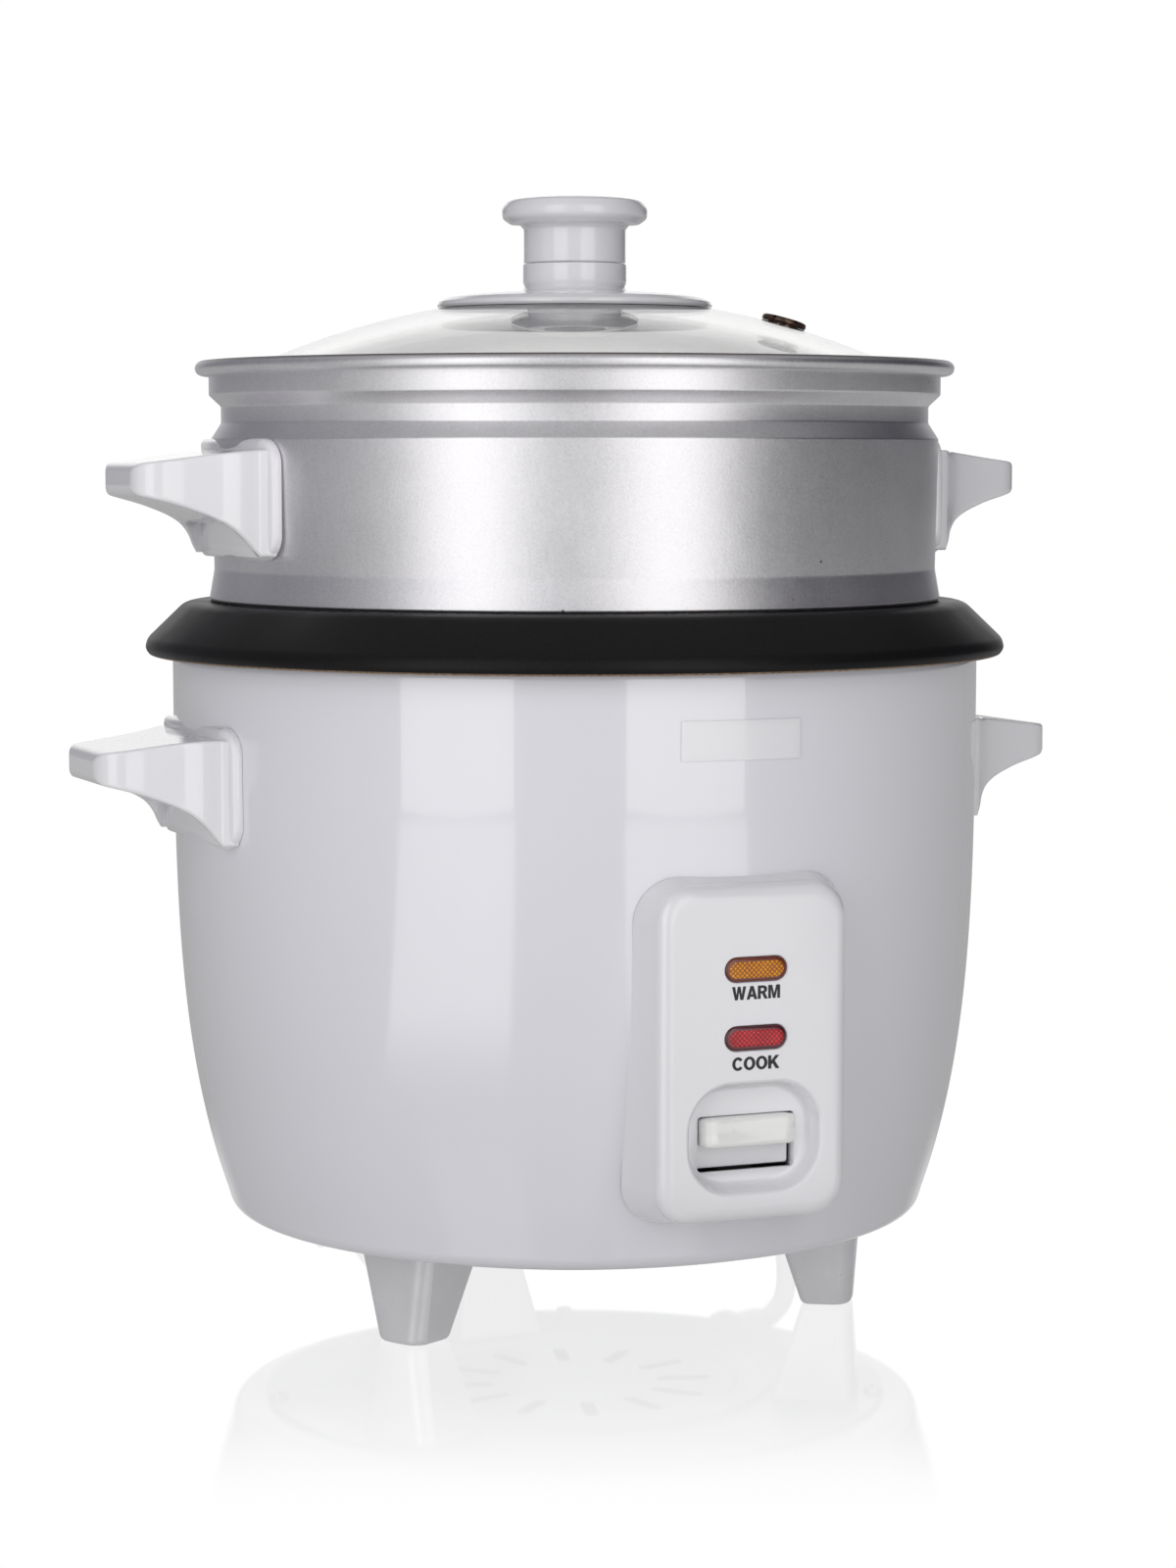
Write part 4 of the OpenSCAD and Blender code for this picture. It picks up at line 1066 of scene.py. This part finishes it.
# switch paddle: hollow-faced finger bar over a flat skirt
rr = []
for x in [-13.4 + 26.8 * i / 40 for i in range(41)]:
    e = max(0.0, abs(x) - 9.6) / 3.8
    pull = 2.4 * (1 - math.sqrt(max(0.0, 1 - min(1, e) ** 2)))
    sag = 0.7 * (1 - (x / 13.4) ** 2)
    zt, zb, yf = 71.7 - pull * 0.25, 63.7 + pull * 0.25, -120.6 + pull
    sec = fillet([(yf + 0.35 + sag, zt, 1.4), (-112.6, zt, 0.2), (-112.6, zb, 0.2), (yf, zb + 0.2, 1.8), (yf + 0.55 + sag, (zt + zb) / 2, 6)], True, 6)
    rr.append([(x + PX, y, z) for y, z in sec])
pv, pf = loft(rr)
paddle = build("paddle_bar", pv, pf, M["paddle"], "switch", ["switch_paddle"], 50)
rr = [[(x, y, z) for x, z in round_rect(26.4 - 2 * d, 13.3 - 2 * d, 0.7, 4, PX, 64.45)] for d, y in ((0, -112.2), (0, -113.1), (0.15, -113.25), (0.4, -113.3))]
v, f = loft(rr)
build("paddle_skirt", v, f, M["plastic"], "switch", (), 50)

# coil spring round the sensor: closed end coils, open ones between
rr, N, WIRE = [], 200, 0.55
for i in range(N + 1):
    t = 5.0 * i / N
    rise = 1.17 * t if t < 1 else 1.17 + (10.2 - 2.34) * (t - 1) / 3 if t < 4 else 10.2 - 1.17 * (5 - t)
    a = t * TAU
    thin = WIRE * (1.0 - 0.25 * max(0.0, 1 - 4 * min(t, 5 - t)))
    rr.append([((14.6 + thin * math.cos(b)) * math.cos(a), (14.6 + thin * math.cos(b)) * math.sin(a), 65 + rise + thin * math.sin(b))
               for b in [TAU * k / 14 for k in range(14)]])
v, f = loft(rr)
spring = build("sensor_coil", v, f, M["spring"], "root", ["sensor_spring"], 50)
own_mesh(spring)

# blank sticker on the drum, no lettering
M["badge"] = surface("sticker_film", (0.83, 0.83, 0.86), 0.22, vary=0.01, coat=0.7, coat_rough=0.08, grain=900, grain_strength=0.04)


def on_drum(x, z, off):
    r = drum_at(z) + off
    return (x, -math.sqrt(r * r - x * x), z)


cols, rows_n = 34, 10
grid = [[on_drum(-17 + 34 * i / cols, 164.8 + 10.4 * j / rows_n, 0.42 if 0 < i < cols and 0 < j < rows_n else 0.32) for i in range(cols + 1)] for j in range(rows_n + 1)]
back = [[on_drum(-17 + 34 * i / cols, 164.8 + 10.4 * j / rows_n, 0.16) for i in range(cols + 1)] for j in range(rows_n + 1)]
W1 = cols + 1
v = [p for row in grid for p in row] + [p for row in back for p in row]
off_b = W1 * (rows_n + 1)
f = []
for j in range(rows_n):
    for i in range(cols):
        q = (j * W1 + i, j * W1 + i + 1, (j + 1) * W1 + i + 1, (j + 1) * W1 + i)
        f.append(q)
        f.append(tuple(k + off_b for k in reversed(q)))
rim = [(0, i) for i in range(cols)] + [(j, cols) for j in range(rows_n)] + [(rows_n, i) for i in range(cols, 0, -1)] + [(j, 0) for j in range(rows_n, 0, -1)]
ids = [j * W1 + i for j, i in rim]
for a, b in zip(ids, ids[1:] + ids[:1]):
    f.append((a, b, b + off_b, a + off_b))
build("sticker_blank", v, f, M["badge"], "root", ["blank_badge"], 40)

# ------------------------------------------------------------------ finishes for the CAD nodes that stay
KEEP = {
    "bottom_plate": "steel", "inner_liner": "steel", "heating_plate": "cast", "heater_element": "cast", "plate_posts": "steel",
    "plate_screws": "steel", "keep_warm_heater": "mica", "thermostat_housing": "steel", "sensor_cap": "cast", "sensor_ferrite": "ferrite",
    "magnet_plunger": "magnet", "switch_lever": "oxide", "lever_pin": "spring", "lever_bracket": "steel",
    "microswitch": "black", "thermal_fuse": "cast", "terminal_block": "sleeve", "wiring": "sleeve", "indicator_lamps": "lamp",
    "panel_screws": "steel", "body_handle_screws": "steel", "foot_screws": "steel", "bottom_screws": "steel", "plug_pins": "pin",
    "steamer_handle_screws": "steel", "knob_screw": "steel",
}
for name, key in KEEP.items():
    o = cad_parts.get(name)
    if o is None or o.hide_render:
        continue
    if not o.material_slots:
        o.data.materials.append(M[key])
    for s in o.material_slots:
        s.material = M[key]

# ------------------------------------------------------------------ stage and light
me = bpy.data.meshes.new("floor")
me.from_pydata([(-9, -9, 0), (9, -9, 0), (9, 9, 0), (-9, 9, 0)], [], [(0, 1, 2, 3)])
floor = bpy.data.objects.new("floor", me)
SC.collection.objects.link(floor)
fm = bpy.data.materials.new("white_acrylic")
fm.use_nodes = True
nt = fm.node_tree
nt.nodes.clear()
out = nt.nodes.new("ShaderNodeOutputMaterial")
lp = nt.nodes.new("ShaderNodeLightPath")
# pools of light on the sheet in front of each softbox, seen only by the object
geo = nt.nodes.new("ShaderNodeNewGeometry")
flat = node(nt, "ShaderNodeVectorMath", operation="LENGTH")
nt.links.new(geo.outputs["Position"], flat.inputs[0])
far = node(nt, "ShaderNodeMapRange", in_1=0.24, in_2=0.46, in_3=0.0, in_4=1.0)
far.interpolation_type = "SMOOTHSTEP"
nt.links.new(flat.outputs["Value"], far.inputs[0])
edge = node(nt, "ShaderNodeMapRange", in_1=1.31, in_2=1.40, in_3=1.0, in_4=0.0)
nt.links.new(flat.outputs["Value"], edge.inputs[0])
span = node(nt, "ShaderNodeMath", operation="MULTIPLY")
nt.links.new(far.outputs[0], span.inputs[0])
nt.links.new(edge.outputs[0], span.inputs[1])
unit = node(nt, "ShaderNodeVectorMath", operation="NORMALIZE")
nt.links.new(geo.outputs["Position"], unit.inputs[0])
pools = None
for az, half in ((-31.6, 15.9), (29.8, 16.6)):
    a = math.radians(az)
    d = node(nt, "ShaderNodeVectorMath", operation="DOT_PRODUCT")
    d.inputs[1].default_value = tuple((-to_axis) * math.cos(a) + to_right * math.sin(a))
    nt.links.new(unit.outputs[0], d.inputs[0])
    m = node(nt, "ShaderNodeMapRange", in_1=math.cos(math.radians(half + 1.1)), in_2=math.cos(math.radians(half - 0.9)), in_3=0.0, in_4=1.0)
    m.interpolation_type = "SMOOTHSTEP"
    nt.links.new(d.outputs["Value"], m.inputs[0])
    if pools is None:
        pools = m.outputs[0]
    else:
        t = node(nt, "ShaderNodeMath", operation="ADD")
        nt.links.new(pools, t.inputs[0])
        nt.links.new(m.outputs[0], t.inputs[1])
        pools = t.outputs[0]
t = node(nt, "ShaderNodeMath", operation="MULTIPLY")
nt.links.new(pools, t.inputs[0])
nt.links.new(span.outputs[0], t.inputs[1])
painted_glow = node(nt, "ShaderNodeMath", operation="MULTIPLY_ADD", in_1=0.95, in_2=0.40)
nt.links.new(t.outputs[0], painted_glow.inputs[0])
ahead = node(nt, "ShaderNodeVectorMath", operation="DOT_PRODUCT")
ahead.inputs[1].default_value = tuple(-to_axis)
nt.links.new(geo.outputs["Position"], ahead.inputs[0])
mask = node(nt, "ShaderNodeMapRange", in_1=0.10, in_2=0.24, in_3=1.0, in_4=0.0)
mask.interpolation_type = "SMOOTHSTEP"
nt.links.new(ahead.outputs["Value"], mask.inputs[0])
near = node(nt, "ShaderNodeMapRange", in_1=0.18, in_2=0.30, in_3=1.0, in_4=0.0)
near.interpolation_type = "SMOOTHSTEP"
nt.links.new(flat.outputs["Value"], near.inputs[0])
both = node(nt, "ShaderNodeMath", operation="MULTIPLY")
nt.links.new(mask.outputs[0], both.inputs[0])
nt.links.new(near.outputs[0], both.inputs[1])
seen_level = node(nt, "ShaderNodeMix", data_type="FLOAT", in_2=1.0, in_3=0.765)
nt.links.new(both.outputs[0], seen_level.inputs[0])
level = node(nt, "ShaderNodeMix", data_type="FLOAT")
nt.links.new(lp.outputs["Is Camera Ray"], level.inputs[0])
nt.links.new(painted_glow.outputs[0], level.inputs[2])
nt.links.new(seen_level.outputs[0], level.inputs[3])
em = node(nt, "ShaderNodeEmission", in_Color=(1, 1, 1, 1))
nt.links.new(level.outputs[0], em.inputs["Strength"])
gl = node(nt, "ShaderNodeBsdfGlossy", in_Roughness=0.045)
tint = node(nt, "ShaderNodeMix", data_type="RGBA")
tint.inputs[6].default_value = (0, 0, 0, 1)
tint.inputs[7].default_value = (0.24, 0.24, 0.245, 1)
nt.links.new(both.outputs[0], tint.inputs[0])
nt.links.new(tint.outputs[2], gl.inputs["Color"])
add = nt.nodes.new("ShaderNodeAddShader")
nt.links.new(em.outputs[0], add.inputs[0])
nt.links.new(gl.outputs[0], add.inputs[1])
nt.links.new(add.outputs[0], out.inputs[0])
me.materials.append(fm)

world = bpy.data.worlds.new("studio")
SC.world = world
world.use_nodes = True
nt = world.node_tree
nt.nodes.clear()
out = nt.nodes.new("ShaderNodeOutputWorld")
tc = nt.nodes.new("ShaderNodeTexCoord")


def facing(vector, a, b):
    """0 to 1 as the direction turns towards a vector."""
    d = node(nt, "ShaderNodeVectorMath", operation="DOT_PRODUCT")
    d.inputs[1].default_value = tuple(vector)
    nt.links.new(tc.outputs["Generated"], d.inputs[0])
    m = node(nt, "ShaderNodeMapRange", in_1=a, in_2=b, in_3=0.0, in_4=1.0)
    m.interpolation_type = "SMOOTHSTEP"
    nt.links.new(d.outputs["Value"], m.inputs[0])
    return m.outputs[0]


def blend(fac, a, b):
    m = node(nt, "ShaderNodeMix", data_type="RGBA")
    nt.links.new(fac, m.inputs[0])
    for i, c in ((6, a), (7, b)):
        if isinstance(c, tuple):
            m.inputs[i].default_value = (*c, 1)
        else:
            nt.links.new(c, m.inputs[i])
    return m.outputs[2]


room = blend(facing(to_right, -0.75, 0.75), (0.21, 0.21, 0.235), (0.03, 0.028, 0.04))
room = blend(facing((-to_axis * 0.47 - to_right * 0.88).normalized(), 0.93, 0.99), room, (0.50, 0.50, 0.515))
room = blend(facing(-to_axis, 0.55, 0.98), room, (0.50, 0.50, 0.515))
room = blend(facing(Vector((0, 0, 1)), 0.45, 0.95), room, (0.40, 0.40, 0.405))
room = blend(facing((to_axis + Vector((0, 0, 0.16))).normalized(), 0.85, 0.97), room, (1.03, 1.03, 1.03))
lp = nt.nodes.new("ShaderNodeLightPath")
seen = blend(lp.outputs["Is Camera Ray"], room, (1.03, 1.03, 1.03))
bg = nt.nodes.new("ShaderNodeBackground")
nt.links.new(seen, bg.inputs[0])
nt.links.new(bg.outputs[0], out.inputs[0])


def softbox(name, az_deg, width, height, z, dist, radiance, colour=(1, 1, 1)):
    """Area light at an angle from the camera's side, facing the axis."""
    ld = bpy.data.lights.new(name, "AREA")
    ld.shape = "RECTANGLE"
    ld.size, ld.size_y = width, height
    ld.energy = radiance * math.pi * width * height
    ld.color = colour
    o = bpy.data.objects.new(name, ld)
    SC.collection.objects.link(o)
    a = math.radians(az_deg)
    d = (-to_axis) * math.cos(a) + to_right * math.sin(a)
    o.location = d * dist + Vector((0, 0, z))
    o.rotation_mode = "QUATERNION"
    o.rotation_quaternion = (-d).to_track_quat("-Z", "Y")
    return o


softbox("softbox_left", -31.4, 0.72, 1.4, 0.71, 1.3, 1.18, (1.0, 0.995, 0.985))
softbox("softbox_right", 29.6, 0.755, 1.4, 0.71, 1.3, 1.2, (1.0, 0.99, 0.98))
# soft fill from the same sides, too broad to be seen as a reflection
for fill in (softbox("fill_left", -31.4, 0.72, 1.4, 0.71, 1.31, 0.63, (1.0, 0.995, 0.985)),
             softbox("fill_right", 29.6, 0.755, 1.4, 0.71, 1.31, 0.32, (1.0, 0.99, 0.98))):
    fill.visible_glossy = False
# keeps the back from going flat and grey, and can't be seen itself
back_fill = softbox("fill_back", 180, 0.5, 1.2, 0.75, 1.4, 0.75)
back_fill.visible_glossy = back_fill.visible_camera = back_fill.visible_transmission = False
